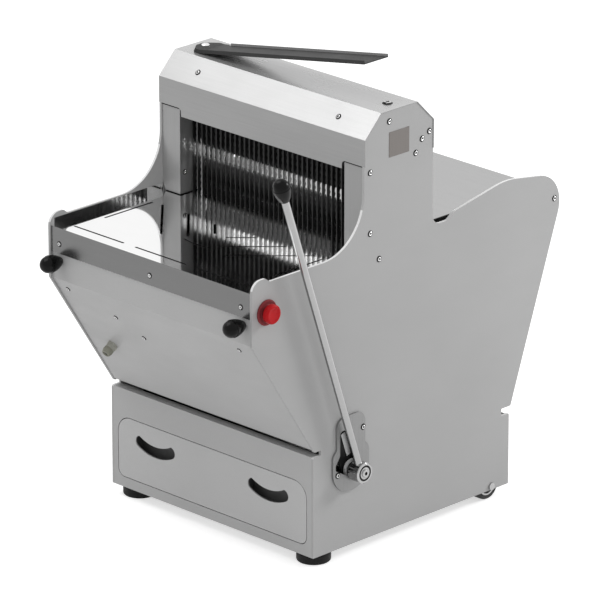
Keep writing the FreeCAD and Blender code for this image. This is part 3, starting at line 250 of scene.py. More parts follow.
@dataclass(frozen=True)
class SatinPaint:
    """Sprayed satin coat: orange peel, faint clouds, and marks where hands and cloths went."""

    name: str
    colour: Triple
    rough: float = 0.42
    shine: float = 0.35
    cloud: Pattern = even(4, 2)
    cloud_shades: Pair = (0.975, 1.025)
    fleck: Pattern = even(1300, 1)
    fleck_shades: Pair = (0.97, 1.03)
    fleck_height: float = 0.004
    mark: Pattern = Pattern((14, 14, 48), 5)
    polished: float = 0.05
    dulled: float = 0.07
    peel: Pattern = even(520, 2)
    peel_height: float = 0.012

    def make(self) -> bpy.types.Material:
        """Build the material."""
        coat = Coat(self.name)
        clouds, flecks, marks = map(coat.mottle, (self.cloud, self.fleck, self.mark))
        coat.shade(self.colour, coat.level(clouds, *self.cloud_shades),
                   coat.level(flecks, *self.fleck_shades))
        coat.roughen(marks, self.rough - self.polished, self.rough + self.dulled)
        coat.raise_by((coat.mottle(self.peel), self.peel_height), (flecks, self.fleck_height))
        coat.fix(Specular_IOR_Level=self.shine)
        return coat.material


@dataclass(frozen=True)
class BrushedSteel:
    """Steel with brushing lines one way and faint wiped streaks over them."""

    name: str
    colour: Triple
    rough: float
    grain: Grain
    metal: float = 1.0
    gloss: float = 0.0
    gloss_rough: float = 0.06
    shine: float = 0.3
    fine_shades: Pair = (0.97, 1.03)
    fine_height: float = 0.0008
    bundle: float = 7
    wide_shades: Pair = (0.985, 1.015)
    wide_marks: Pair = (0.9, 1.1)
    wide_height: float = 0.001
    wipe: Pattern = Pattern((11, 11, 26), 4)
    polished: float = 0.02
    dulled: float = 0.03

    def make(self) -> bpy.types.Material:
        """Build the material."""
        coat = Coat(self.name)
        fine = coat.mottle(Pattern(self.grain.value, 2))
        wide = coat.mottle(Pattern(self.grain.bundled(self.bundle), 3))
        wiped = coat.mottle(self.wipe)
        coat.shade(self.colour, coat.level(fine, *self.fine_shades), coat.level(wide, *self.wide_shades))
        marks = coat.product(coat.level(wide, *self.wide_marks), wiped)
        coat.roughen(marks, self.rough - self.polished, self.rough + self.dulled)
        coat.raise_by((fine, self.fine_height), (wide, self.wide_height))
        coat.fix(Metallic=self.metal, Coat_Weight=self.gloss, Coat_Roughness=self.gloss_rough,
                 Specular_IOR_Level=self.shine)
        return coat.material


@dataclass(frozen=True)
class MirrorSheet:
    """Polished stainless sheet with hairlines and dull wiped patches."""

    name: str
    colour: Triple
    rough: float = 0.03
    dull: float = 0.09
    hair: Pattern = Pattern((18, 1500, 1500), 2)
    hair_height: float = 0.0004
    patch: Pattern = Pattern((7, 10, 10), 4)
    shades: Pair = (0.985, 1.01)

    def make(self) -> bpy.types.Material:
        """Build the material."""
        coat = Coat(self.name)
        hairs, patches = map(coat.mottle, (self.hair, self.patch))
        coat.shade(self.colour, coat.level(hairs, *self.shades), coat.level(patches, *self.shades))
        coat.roughen(patches, self.rough, self.dull)
        coat.raise_by((hairs, self.hair_height))
        coat.fix(Metallic=1.0)
        return coat.material


@dataclass(frozen=True)
class CastMetal:
    """Cast or rough-painted metal: pits and a sandy skin."""

    name: str
    colour: Triple
    rough: float = 0.6
    metal: float = 0.6
    skin: Pattern = even(700, 4)
    skin_shades: Pair = (0.8, 1.2)
    skin_height: float = 0.06
    pits_per_metre: float = 380
    pit_shades: Pair = (0.85, 1.05)
    pit_span: Pair = (0.1, 0.5)
    pit_height: float = 0.04
    uneven: float = 0.1

    def make(self) -> bpy.types.Material:
        """Build the material."""
        coat = Coat(self.name)
        sand = coat.mottle(self.skin)
        pits = coat.pits(self.pits_per_metre)
        coat.shade(self.colour, coat.level(sand, *self.skin_shades),
                   coat.level(pits, *self.pit_shades, *self.pit_span))
        coat.roughen(sand, self.rough - self.uneven, self.rough + self.uneven)
        coat.raise_by((sand, self.skin_height), (pits, self.pit_height))
        coat.fix(Metallic=self.metal)
        return coat.material


@dataclass(frozen=True)
class Moulding:
    """Moulded plastic or rubber: a fine skin, shallow sink marks, and dull patches where it is touched."""

    name: str
    colour: Triple
    rough: float
    skin: float = 0.01
    shine: float = 0.2
    dust: float = 0.06
    grained: Pattern = even(1600, 2)
    sunk: Pattern = even(60, 3)
    sunk_shades: Pair = (0.93, 1.07)
    sunk_depth: float = 0.02
    polished: float = 0.06
    dulled: float = 0.08
    least_rough: float = 0.02

    def make(self) -> bpy.types.Material:
        """Build the material."""
        coat = Coat(self.name)
        skin, sink = map(coat.mottle, (self.grained, self.sunk))
        coat.shade(self.colour, coat.level(skin, 1 - self.dust, 1 + self.dust),
                   coat.level(sink, *self.sunk_shades))
        coat.roughen(sink, max(self.rough - self.polished, self.least_rough), self.rough + self.dulled)
        coat.raise_by((skin, self.skin), (sink, self.sunk_depth))
        coat.fix(Specular_IOR_Level=self.shine)
        return coat.material


def grey(level: float) -> Triple:
    """Neutral colour of one level."""
    return (level, level, level)


class Finish(Enum):
    """Every finish on the machine; some are copies painted lighter or darker to stand for light and shade."""

    PANEL = SatinPaint("panel_paint", grey(0.45), 0.45)
    # painted light: the apron, base front and drawer have the panels' paint, made lighter to make up for the
    # light they lack
    APRON = SatinPaint("apron_paint_lightened", grey(0.51), 0.45)
    BASE = SatinPaint("base_paint_lightened", grey(0.495), 0.45)
    DRAWER = SatinPaint("drawer_paint_lightened", grey(0.56), 0.45)
    # painted highlight: the side panels' upward faces, far lighter than the panel paint, as if lit from above
    RIM = SatinPaint("panel_rim_painted_highlight", grey(0.85), 0.4)
    # painted light: one hood sheet in three copies, the slope and top painted lighter than the front, as if
    # lit from above
    HOOD = BrushedSteel("hood_steel", grey(0.3), 0.34, Grain.ACROSS, 0.6, 0.2)
    HOOD_SLOPE = BrushedSteel("hood_slope_painted_light", grey(0.47), 0.34, Grain.ACROSS, 0.6, 0.2)
    HOOD_TOP = BrushedSteel("hood_top_painted_light", grey(0.54), 0.26, Grain.ACROSS, 0.6)
    POST = BrushedSteel("post_steel", grey(0.35), 0.4, Grain.UPRIGHT, 0.25)
    # painted shade: a darker copy of the post steel for the posts' inner faces
    POST_SIDE = BrushedSteel("post_side_painted_shade", grey(0.27), 0.36, Grain.UPRIGHT, 0.4)
    TABLE = MirrorSheet("table_mirror", grey(0.93))
    # painted reflection: the mirror table's front faces get a dark steel that stands for the darker
    # surroundings they reflect
    LIP = BrushedSteel("table_lip_painted_reflection", grey(0.17), 0.24, Grain.ACROSS, 0.8)
    REAR_TABLE = BrushedSteel("rear_table_steel", grey(0.42), 0.22, Grain.ACROSS)
    TRAY_SHEET = SatinPaint("tray_paint", grey(0.05), 0.5, 0.1)
    # painted light: a lighter copy of the tray paint for the lit inner face of the tray's rear wall
    TRAY_WALL = SatinPaint("tray_wall_painted_light", grey(0.36), 0.42, 0.3)
    ZINC = BrushedSteel("zinc_steel", grey(0.42), 0.3, Grain.ALL_ROUND)
    ROD = BrushedSteel("ground_rod", grey(0.34), 0.11, Grain.ALL_ROUND)
    HUB = BrushedSteel("turned_hub", grey(0.4), 0.16, Grain.ALL_ROUND)
    BOLT = BrushedSteel("bright_bolt", grey(0.85), 0.1, Grain.ALL_ROUND)
    SCREW = BrushedSteel("screw_steel", grey(0.6), 0.14, Grain.ALL_ROUND)
    BRACKET = BrushedSteel("bracket_steel", grey(0.28), 0.4, Grain.UPRIGHT, 0.5)
    ARM = BrushedSteel("arm_rib_steel", grey(0.45), 0.4, Grain.UPRIGHT, 0.6)
    PLATE = BrushedSteel("blank_plate", (0.195, 0.18, 0.17), 0.45, Grain.UPRIGHT, 0.5)
    # black frame paint; also painted shade in the screw sockets, the dark rings round the screw heads, the
    # hub's end groove and the end bolt's socket
    FRAME = SatinPaint("frame_paint_and_recess_shade", grey(0.012), 0.4, 0.12)
    COMB = SatinPaint("comb_sheet", grey(0.06), 0.36, 0.15)
    # painted shade: the steel blades and their ground edges are made near black for the shade inside the
    # opening
    BLADE = BrushedSteel("blade_steel", grey(0.065), 0.4, Grain.UPRIGHT, 0.9)
    EDGE = BrushedSteel("blade_edge", grey(0.12), 0.25, Grain.UPRIGHT)
    GUIDE = SatinPaint("guide_paint", grey(0.045), 0.4, 0.15)
    # painted shade: a darker copy of the zinc steel for the parts inside the base
    INNER = BrushedSteel("inner_zinc_painted_shade", grey(0.22), 0.42, Grain.ACROSS, 0.6)
    IRON = CastMetal("cast_iron", grey(0.1))
    MOTOR = CastMetal("motor_paint", (0.1, 0.12, 0.14), 0.5, 0.1)
    BELT = Moulding("belt_rubber", grey(0.02), 0.75, 0.03, 0.1)
    # painted shade: black strips set into the gaps at the posts, standing for their shadow
    SEAL = Moulding("black_shade_strip", grey(0.006), 0.6, 0.02, 0.05)
    FOOT = Moulding("foot_rubber", grey(0.014), 0.55, 0.03, 0.15, 0.15)
    TYRE = Moulding("tyre_rubber", grey(0.05), 0.6, 0.03, 0.2, 0.12)
    KNOB_GLOSS = Moulding("knob_gloss", grey(0.003), 0.07, 0.0015, 0.13)
    KNOB_MATT = Moulding("knob_matt", grey(0.003), 0.14, 0.004, 0.18)
    GRIP = Moulding("grip_plastic", grey(0.11), 0.5, 0.02, 0.3)
    BOX = Moulding("switch_box_plastic", grey(0.03), 0.45, 0.02)
    GLAND_BODY = Moulding("gland_clear_nylon", (0.42, 0.42, 0.37), 0.4, 0.01, 0.3)
    GLAND_CAP = Moulding("gland_cap_nylon", (0.29, 0.29, 0.235), 0.42, 0.01, 0.3)
    STOP = Moulding("stop_red", (0.5, 0.01, 0.014), 0.3, 0.004, 0.1, 0.02)
    STOP_COLLAR = Moulding("stop_collar_red", (0.25, 0.04, 0.045), 0.42, 0.006, 0.12, 0.03)

    @property
    def material(self) -> bpy.types.Material:
        """The material, built when it is first used."""
        made = bpy.data.materials.get(FINISH_NAME + self.value.name)
        return made or self.value.make()


# Pieces


class Slot(Enum):
    """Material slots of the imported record."""

    ZINC = "zinc_steel"
    BLADE = "blade_steel"
    RUBBER = "foot_rubber"
    PLASTIC = "black_plastic"
    GLAND = "gland_plastic"
    STOP = "stop_red"
    COLLAR = "stop_collar_red"


def dress(finish: Finish, *nodes: str) -> None:
    """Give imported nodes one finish.

    Args:
        finish: the finish.
        nodes: names of the nodes.
    """
    for node in nodes:
        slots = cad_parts[node].data.materials
        slots.clear()
        slots.append(finish.material)
        LOG.info("dressed %s in %s", node, finish.value.name)


def dress_faces(node: str, finish: Finish, facing: Vector, past: float = ANYWHERE,
                least: float = 0.9) -> None:
    """Give the faces of a node that look one way a second finish.

    Args:
        node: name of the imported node.
        finish: the second finish.
        facing: direction that the faces look in.
        past: how far along that direction a face lies at least, in metres.
        least: cosine of the widest angle from it.
    """
    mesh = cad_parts[node].data
    mesh.materials.append(finish.material)
    for polygon in mesh.polygons:
        if polygon.normal.dot(facing) > least and polygon.center.dot(facing) > past:
            polygon.material_index = len(mesh.materials) - 1


def settle(name: str, shape: bmesh.types.BMesh, finishes: list[Finish], body: str, slot: Slot,
           *nodes: str) -> bpy.types.Object:
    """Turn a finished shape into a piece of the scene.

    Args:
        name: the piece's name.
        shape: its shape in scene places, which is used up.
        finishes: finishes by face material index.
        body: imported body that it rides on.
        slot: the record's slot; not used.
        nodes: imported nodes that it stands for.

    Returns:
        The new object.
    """
    bmesh.ops.recalc_face_normals(shape, faces=shape.faces)
    mesh = bpy.data.meshes.new(name)
    shape.to_mesh(mesh)
    shape.free()
    for finish in finishes:
        mesh.materials.append(finish.material)
    mesh.polygons.foreach_set("use_smooth", [True] * len(mesh.polygons))
    mesh.set_sharp_from_angle(angle=SHARP_EDGE)
    piece = bpy.data.objects.new(name, mesh)
    bpy.context.scene.collection.objects.link(piece)
    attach(piece, body)
    if nodes:
        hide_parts(*nodes)
    LOG.info("made %s with %d faces", name, len(mesh.polygons))
    return piece


class Outline(Enum):
    """Shape of a ring on a turned piece, with how many sides or flutes it has."""

    ROUND = 0
    HEXAGON = 6
    FLUTED = 20


@dataclass(frozen=True)
class Ring:
    """Ring of a turned piece, in millimetres; band is the finish of the strip that follows it."""

    radius: float
    height: float
    outline: Outline = Outline.ROUND
    band: int = 0

    def at(self, angle: float) -> float:
        """How far the ring reaches.

        Args:
            angle: angle round the axis.

        Returns:
            The radius at that angle, in millimetres.
        """
        if self.outline is Outline.HEXAGON:
            side = 2 * math.pi / self.outline.value
            return self.radius * math.cos(side / 2) / math.cos(angle % side - side / 2)
        if self.outline is Outline.FLUTED:
            return self.radius - FLUTE_DEPTH * (0.5 + 0.5 * math.cos(angle * self.outline.value))
        return self.radius


def row(*points: Pair, band: int = 0, outline: Outline = Outline.ROUND) -> list[Ring]:
    """Rings of one band and outline, given by radius and height."""
    return [Ring(radius, height, outline, band) for radius, height in points]


@dataclass
class Turning:
    """Piece with a profile of rings, set down at one or more places; a bored one has a hole right through."""

    rings: list[Ring]
    steps: int = 48
    bored: bool = False

    def add_to(self, shape: bmesh.types.BMesh, foot: Vector, axis: Vector) -> None:
        """Add one copy to a shape.

        Args:
            shape: the shape that grows.
            foot: where height 0 of the profile is.
            axis: direction in which heights grow.
        """
        axis = axis.normalized()
        side = axis.orthogonal().normalized()
        other = axis.cross(side)
        loops = []
        for ring in self.rings:
            middle = foot + axis * (ring.height / METRE)
            if ring.radius == 0:
                loops.append([shape.verts.new(middle)])
                continue
            loop = []
            for i in range(self.steps):
                angle = 2 * math.pi * i / self.steps
                way = side * math.cos(angle) + other * math.sin(angle)
                loop.append(shape.verts.new(middle + way * (ring.at(angle) / METRE)))
            loops.append(loop)
        pairs = list(zip(loops, loops[1:], self.rings))
        if self.bored:
            pairs.append((loops[-1], loops[0], self.rings[-1]))
        for low, high, ring in pairs:
            for i in range(self.steps):
                ends = [low[i % len(low)], low[(i + 1) % len(low)]]
                ends += [high[(i + 1) % len(high)], high[i % len(high)]]
                corners = list(dict.fromkeys(ends))
                if len(corners) > 2:
                    shape.faces.new(corners).material_index = ring.band

    def piece(self, name: str, places: list[tuple[Vector, Vector]], finishes: list[Finish], body: str,
              slot: Slot, *nodes: str) -> bpy.types.Object:
        """Make one object with a copy at each place.

        Args:
            name: the object's name.
            places: foot and axis of each copy.
            finishes: finishes by the rings' bands.
            body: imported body, as for settle; so are slot and nodes.

        Returns:
            The object.
        """
        shape = bmesh.new()
        for foot, axis in places:
            self.add_to(shape, foot, axis)
        return settle(name, shape, finishes, body, slot, *nodes)


def flowing(points: list[Pair], band: int = 0, steps: int = 6) -> list[Ring]:
    """Rings along a smooth line.

    Args:
        points: radius and height of the points that the line goes through.
        band: finish of the rings' strips.
        steps: how many rings there are from one point to the next.

    Returns:
        The rings from the first point to the last.
    """
    rings = []
    ends = [points[0], *points, points[-1]]
    for i in range(1, len(ends) - 2):
        p = [Vector(q) for q in ends[i - 1:i + 3]]
        for k in range(steps):
            t = k / steps
            bend = (2 * p[1] + (p[2] - p[0]) * t + (2 * p[0] - 5 * p[1] + 4 * p[2] - p[3]) * t ** 2
                    + (3 * p[1] - p[0] - 3 * p[2] + p[3]) * t ** 3) / 2
            rings.append(Ring(max(bend.x, 0.0), bend.y, band=band))
    return rings + [Ring(*points[-1], band=band)]


# Screws


@dataclass
class ScrewPlace:
    """Where a packed screw sits on its sheet, and its head's and shank's radius and its depth in mm."""

    foot: Vector
    outward: Vector
    head: float
    shank: float
    depth: float


@dataclass
class Screws:
    """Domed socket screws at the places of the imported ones; the dome is in shares of the head's radius."""

    nodes: tuple[tuple[str, Vector | None], ...] = (("panel_screws", TO_RIGHT), ("sheet_screws", None))
    steps: int = 24
    fineness: float = 1e6            # steps in a metre; corner points in the same step are one
    same_height: float = 2e-5        # in metres
    at_the_rim: float = 0.99         # of the widest radius
    key: float = 0.5                 # socket's radius as a share of the head's
    key_limit: float = 0.8           # and at most this share of the shank's
    dome: tuple[Pair, ...] = ((0.86, 0.32), (0.96, 0.2), (1.0, 0.12))
    # how far the washer reaches past the head; it is black as painted shade
    lip: float = 1.3
    lift: float = 0.02
    bevel: float = 0.4

    def separate(self, node: str) -> list[np.ndarray]:
        """Take a node's solids apart.

        Args:
            node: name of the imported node.

        Returns:
            The corner points of each solid, in metres.
        """
        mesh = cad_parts[node].data
        where: dict[tuple[int, int, int], int] = {}
        steps = [tuple(round(c * self.fineness) for c in v.co) for v in mesh.vertices]
        index = [where.setdefault(step, len(where)) for step in steps]
        parent = list(range(len(where)))

        def root(i: int) -> int:
            """Lowest member of a point's group."""
            while parent[i] != i:
                parent[i] = parent[parent[i]]
                i = parent[i]
            return i

        for polygon in mesh.polygons:
            first = root(index[polygon.vertices[0]])
            for corner in polygon.vertices[1:]:
                parent[root(index[corner])] = first
        groups: dict[int, list[tuple[int, int, int]]] = {}
        for point, i in where.items():
            groups.setdefault(root(i), []).append(point)
        return [np.array(points) / self.fineness for points in groups.values()]

    def measure(self, points: np.ndarray, along: Vector | None) -> ScrewPlace:
        """Find a screw's place.

        Args:
            points: its corner points.
            along: its axis either way, or None where the points' own spread shows it.

        Returns:
            The place, with the head's side as the outward one.
        """
        middle = points.mean(0)
        if along is None:
            sizes, axes = np.linalg.eigh(np.cov((points - middle).T))
            axis = axes[:, 2] if sizes[1] - sizes[0] < sizes[2] - sizes[1] else axes[:, 0]
        else:
            axis = np.array(along)
        heights = (points - middle) @ axis
        radii = np.linalg.norm(points - middle - np.outer(heights, axis), axis=1)
        rim = heights[radii > radii.max() * self.at_the_rim]
        if rim.mean() < (heights.min() + heights.max()) / 2:
            axis, heights, rim = -axis, -heights, -rim
        low = radii[heights < heights.min() + self.same_height]
        foot = middle + axis * rim.min()
        return ScrewPlace(Vector(foot), Vector(axis), radii.max() * METRE, low.max() * METRE,
                          (rim.min() - heights.min()) * METRE)

    def profile(self, at: ScrewPlace) -> list[Ring]:
        """Rings of a screw, from its socket's floor over the dome and the washer to the shank's end; band 1
        is black painted shade.

        Args:
            at: its place and sizes.

        Returns:
            The rings, with their heights over the sheet.
        """
        r = at.head
        key = min(self.key * r, self.key_limit * at.shank)
        dome = [(wide * r, high * r) for wide, high in self.dome]
        return [
            # painted shade: the socket is black
            *row((0, -0.25 * r), band=1),
            *row((key, -0.2 * r), band=1, outline=Outline.HEXAGON),
            *row((key, 0.38 * r), outline=Outline.HEXAGON),
            *row((key + 0.08 * r, 0.45 * r), (0.7 * r, 0.41 * r)),
            # painted shade: the outer dome and the washer are black, a dark ring round each head
            *row(*dome, (r + self.lip, 0.08 * r), (r + self.lip, self.lift), band=1),
            *row((r, self.lift), (at.shank, 0), (at.shank, -at.depth + self.bevel)),
            *row((at.shank - self.bevel, -at.depth), (0, -at.depth)),
        ]

    def make(self) -> None:
        """Build the screws of every node, one piece for each."""
        for node, along in self.nodes:
            shape = bmesh.new()
            for points in self.separate(node):
                at = self.measure(points, along)
                Turning(self.profile(at), self.steps).add_to(shape, at.foot, at.outward)
            settle(node + "_sockets", shape, [Finish.SCREW, Finish.FRAME], "housing", Slot.ZINC, node)


# Sub-assemblies


@dataclass
class Casework:
    """Side panels, base, apron and covers, the feet, and the blank plate."""

    foot_xy: tuple[Pair, ...] = ((34.3, 35.9), (475.7, 35.9))
    foot_radius: float = 31.0
    foot_height: float = 21.0
    stud: float = 5.0
    nut: float = 9.0
    # least upward slope of the panel faces that get the painted highlight
    rim_slope: float = 0.3

    def make(self) -> None:
        """Dress the sheets and build the feet."""
        dress(Finish.PANEL, "left_side_panel", "right_side_panel", "base_rear_panel", "rear_cover")
        # painted highlight on the panels' faces that look upward
        for node in ("left_side_panel", "right_side_panel"):
            dress_faces(node, Finish.RIM, UPWARD, least=self.rim_slope)
        # painted light: the apron and base front in lightened copies of the panel paint
        dress(Finish.APRON, "front_apron")
        dress(Finish.BASE, "base_front_frame")
        # painted shade: the inner parts in the darkened zinc
        dress(Finish.INNER, "base_floor", "cross_members", "drive_base_plate")
        dress(Finish.PLATE, "data_plate")
        dress(Finish.BOX, "electrical_boxes")
        self.feet()

    def feet(self) -> None:
        """Rubber feet with a waist under the top rim, and their studs and nuts."""
        r, h, stud, nut = self.foot_radius, self.foot_height, self.stud, self.nut
        rings = [
            *row((0, -h), (r - 4, -h), (r - 1.6, -h + 0.6), (r - 0.5, -h + 1.8), (r, -h + 3.6), (r, -4.6)),
            *row((r - 0.7, -4.2), (r - 0.7, -3.4), (r, -3.0), (r, -0.8), (r - 0.8, 0)),
            *row((stud, 0), (stud, 3), band=1),
            *row((nut, 3), (nut, 10.6), band=1, outline=Outline.HEXAGON),
            *row((nut - 1, 11), (stud, 11), (stud, 13.4), (stud - 0.6, 14), (0, 14), band=1),
        ]
        places = [(spot(x, y, 0), UPWARD) for x, y in self.foot_xy]
        Turning(rings, 60).piece("rubber_feet", places, [Finish.FOOT, Finish.ZINC], "housing", Slot.RUBBER,
                                 "front_feet")


@dataclass
class Hood:
    """Hood sheet, the posts beside the opening with black strips of painted shade in their gaps, and the bolt
    that the bag tray swings on.
    """

    width: float = 510.0
    post_in: float = 50.0
    post_front: float = 127.0
    post_back: float = 168.9
    step_z: float = 695.0
    table_z: float = 531.0
    # sizes of the black strips that paint the shade in the gaps
    seal: float = 2.0
    strip_rounding: float = 0.3
    foot_strip_height: float = 1.4
    sheet: float = 1.5
    panel: float = 5.4
    beside: float = 9.0

    def strip(self, shape: bmesh.types.BMesh, low: Triple, high: Triple) -> None:
        """Add a run of black strip, with rounded edges, that paints shade into a gap.

        Args:
            shape: the shape that grows.
            low: its lowest corner on the drawing.
            high: its highest corner.
        """
        made = bmesh.ops.create_cube(shape, size=1.0)["verts"]
        a, b = spot(*low), spot(*high)
        for vert in made:
            vert.co = Vector([(a[i] + b[i]) / 2 + vert.co[i] * (b[i] - a[i]) for i in range(3)])
        edges = list({edge for vert in made for edge in vert.link_edges})
        bmesh.ops.bevel(shape, geom=edges, offset=self.strip_rounding / METRE, segments=2, affect="EDGES")

    def shade_strips(self) -> None:
        """Black strips of painted shade in the gaps under the hood's steps and round the posts' feet."""
        shape = bmesh.new()
        face = self.post_front - NEAR
        low, high = self.table_z + NEAR, self.table_z + self.foot_strip_height
        for side in (1, -1):
            spans = [(self.panel, self.post_in), (self.post_in + NEAR, self.post_in + NEAR + self.seal),
                     (self.panel + self.beside, self.post_in + self.seal)]
            if side < 0:
                spans = [(self.width - b, self.width - a) for a, b in spans]
            step, edge, foot = spans
            self.strip(shape, (step[0], face - self.sheet, self.step_z - self.seal),
                       (step[1], face, self.step_z - NEAR))
            self.strip(shape, (edge[0], face + 2 * NEAR, low), (edge[1], self.post_back, high))
            self.strip(shape, (foot[0], face - self.sheet, low), (foot[1], face, high))
        settle("post_shade_strips", shape, [Finish.SEAL], "housing", Slot.PLASTIC)

    def make(self) -> None:
        """Dress the hood, the posts and the bolt."""
        self.shade_strips()
        dress(Finish.HOOD, "hood_cover")
        # painted light: the hood's top and slope get the lighter copies
        dress_faces("hood_cover", Finish.HOOD_TOP, UPWARD)
        dress_faces("hood_cover", Finish.HOOD_SLOPE, (UPWARD + TO_FRONT).normalized())
        dress(Finish.POST, "left_post", "right_post")
        # painted shade on the posts' inner faces
        dress_faces("left_post", Finish.POST_SIDE, TO_RIGHT)
        dress_faces("right_post", Finish.POST_SIDE, -TO_RIGHT)
        dress(Finish.BOLT, "tray_pivot_bolt")
        dress(Finish.TRAY_SHEET, "bag_holder_tray")
        # painted light: forward faces lighter, then those in the front half go back to the dark sheet, so
        # only the rear wall's inner face stays light
        dress_faces("bag_holder_tray", Finish.TRAY_WALL, TO_FRONT)
        low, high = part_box("bag_holder_tray")
        dress_faces("bag_holder_tray", Finish.TRAY_SHEET, TO_FRONT, -(low.y + high.y) / 2)


@dataclass
class Tables:
    """Mirror table in front with its lip, the blade comb and the table behind the blades."""

    def make(self) -> None:
        """Dress the tables and their strips."""
        dress(Finish.TABLE, "output_table", "table_side_strips", "table_comb")
        # painted reflection on the table's front faces
        dress_faces("output_table", Finish.LIP, TO_FRONT)
        dress(Finish.REAR_TABLE, "input_table")


@dataclass
class Blades:
    """Two sets of scalloped slicing blades in their frames, and the guides that hold the frames."""

    step: float = 24.0
    thickness: float = 1.0
    scallop: float = 12.4
    bite: float = 2.6
    bite_shape: float = 0.8
    bevel: float = 1.5
    end_bevel: float = 0.2
    parts: int = 6
    depth: float = 10.1
    end_depth: float = 5.0
    neck: float = 46.0
    keen: float = 0.08
    ground_faces: tuple[int, ...] = (1, 2, 3)
    end_fronts: tuple[tuple[str, float], ...] = (("a", 153.5), ("b", 155.36))

    def edge(self, height: float) -> float:
        """Depth of the scalloped edge under its tips at a height along the blade, in mm."""
        share = (height / self.scallop) % 1.0
        return self.bite * math.sin(math.pi * share) ** self.bite_shape

    def blade(self, shape: bmesh.types.BMesh, x: float, heights: Pair, narrow: float, wide: float) -> None:
        """Add one blade.

        Args:
            shape: the shape that grows.
            x: the blade's middle. All places here are the scene's, in millimetres.
            heights: its lower and upper end.
            narrow: front of its narrow ends.
            wide: front of its wide middle.
        """
        total = heights[1] - heights[0]
        count = round((total - 2 * self.neck) / self.scallop) * self.parts
        span = (total - 2 * self.neck) / count
        marks = [(0.0, False), (self.neck, False)]
        marks += [(self.neck + span * k, True) for k in range(count + 1)]
        marks += [(total - self.neck, False), (total, False)]
        rows = []
        for h, inside in marks:
            front = wide if inside else narrow
            back = wide + self.depth - self.edge(h - self.neck) if inside else narrow + self.end_depth
            ground = back - (self.bevel if inside else self.end_bevel)
            left, right = x - self.thickness / 2, x + self.thickness / 2
            line = [(left, front), (left, ground), (x - self.keen, back), (x + self.keen, back),
                    (right, ground), (right, front)]
            z = (heights[0] + h) / METRE
            rows.append([shape.verts.new((a / METRE, b / METRE, z)) for a, b in line])
        for below, above in zip(rows, rows[1:]):
            for i in range(len(below)):
                j = (i + 1) % len(below)
                face = shape.faces.new([below[i], below[j], above[j], above[i]])
                face.material_index = int(i in self.ground_faces)
        shape.faces.new(rows[0])
        shape.faces.new(rows[-1])

    def make(self) -> None:
        """Build both sets and dress the frames and guides."""
        for letter, front in self.end_fronts:
            low, high = (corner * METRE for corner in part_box("blades_" + letter))
            shape = bmesh.new()
            count = round((high.x - low.x - self.thickness) / self.step) + 1
            for i in range(count):
                x = low.x + self.thickness / 2 + i * self.step
                self.blade(shape, x, (low.z, high.z), front + DRAWING_ORIGIN.y, low.y)
            # blades near black as painted shade
            settle(f"scalloped_blades_{letter}", shape, [Finish.BLADE, Finish.EDGE], "frame_" + letter,
                   Slot.BLADE, "blades_" + letter)
        dress(Finish.FRAME, "blade_frame_a", "blade_frame_b")
        dress(Finish.GUIDE, "frame_guides")


@dataclass
class Drive:
    """Motor, belt and crankshaft under the tables."""

    def make(self) -> None:
        """Dress the drive."""
        dress(Finish.HUB, "crankshaft")
        # painted shade: the bearing stands in the darkened zinc
        dress(Finish.INNER, "bearing_stands")
        dress(Finish.IRON, "crank_pulley", "motor_pulley")
        dress(Finish.MOTOR, "motor")
        dress(Finish.BELT, "drive_belt")


@dataclass
class Knob:
    """Egg-shaped knob with a matt body and a gloss cap above its seam."""

    radius: float = 16.0
    length: float = 44.0
    neck: float = 0.6
    seam: Pair = (0.99, 0.6)
    body: tuple[Pair, ...] = ((0.73, 0.14), (0.88, 0.3), (0.97, 0.46), (1.0, 0.58))
    cap: tuple[Pair, ...] = (
        (0.955, 0.6), (0.93, 0.7), (0.79, 0.84), (0.5, 0.955), (0.22, 0.995), (0.0, 1.0),
    )

    def sized(self, shares: tuple[Pair, ...]) -> list[Pair]:
        """Points of the profile that are given as shares of the radius and the length."""
        return [(wide * self.radius, high * self.length) for wide, high in shares]

    def rings(self) -> list[Ring]:
        """Profile from the neck to the cap's top."""
        r = self.radius
        body = flowing([(0.56 * r, self.neck), *self.sized(self.body)], 0, 4)
        cap = flowing(self.sized(self.cap), 1, 4)
        return [*row((0, 0), (0.5 * r, 0)), *body, *row(*self.sized((self.seam,))), *cap]

    def make(self, name: str, foot: Vector, axis: Vector, body: str, node: str) -> None:
        """Build the knob in the place of a node, from foot along axis."""
        finishes = [Finish.KNOB_MATT, Finish.KNOB_GLOSS]
        Turning(self.rings(), 64).piece(name, [(foot, axis)], finishes, body, Slot.PLASTIC, node)


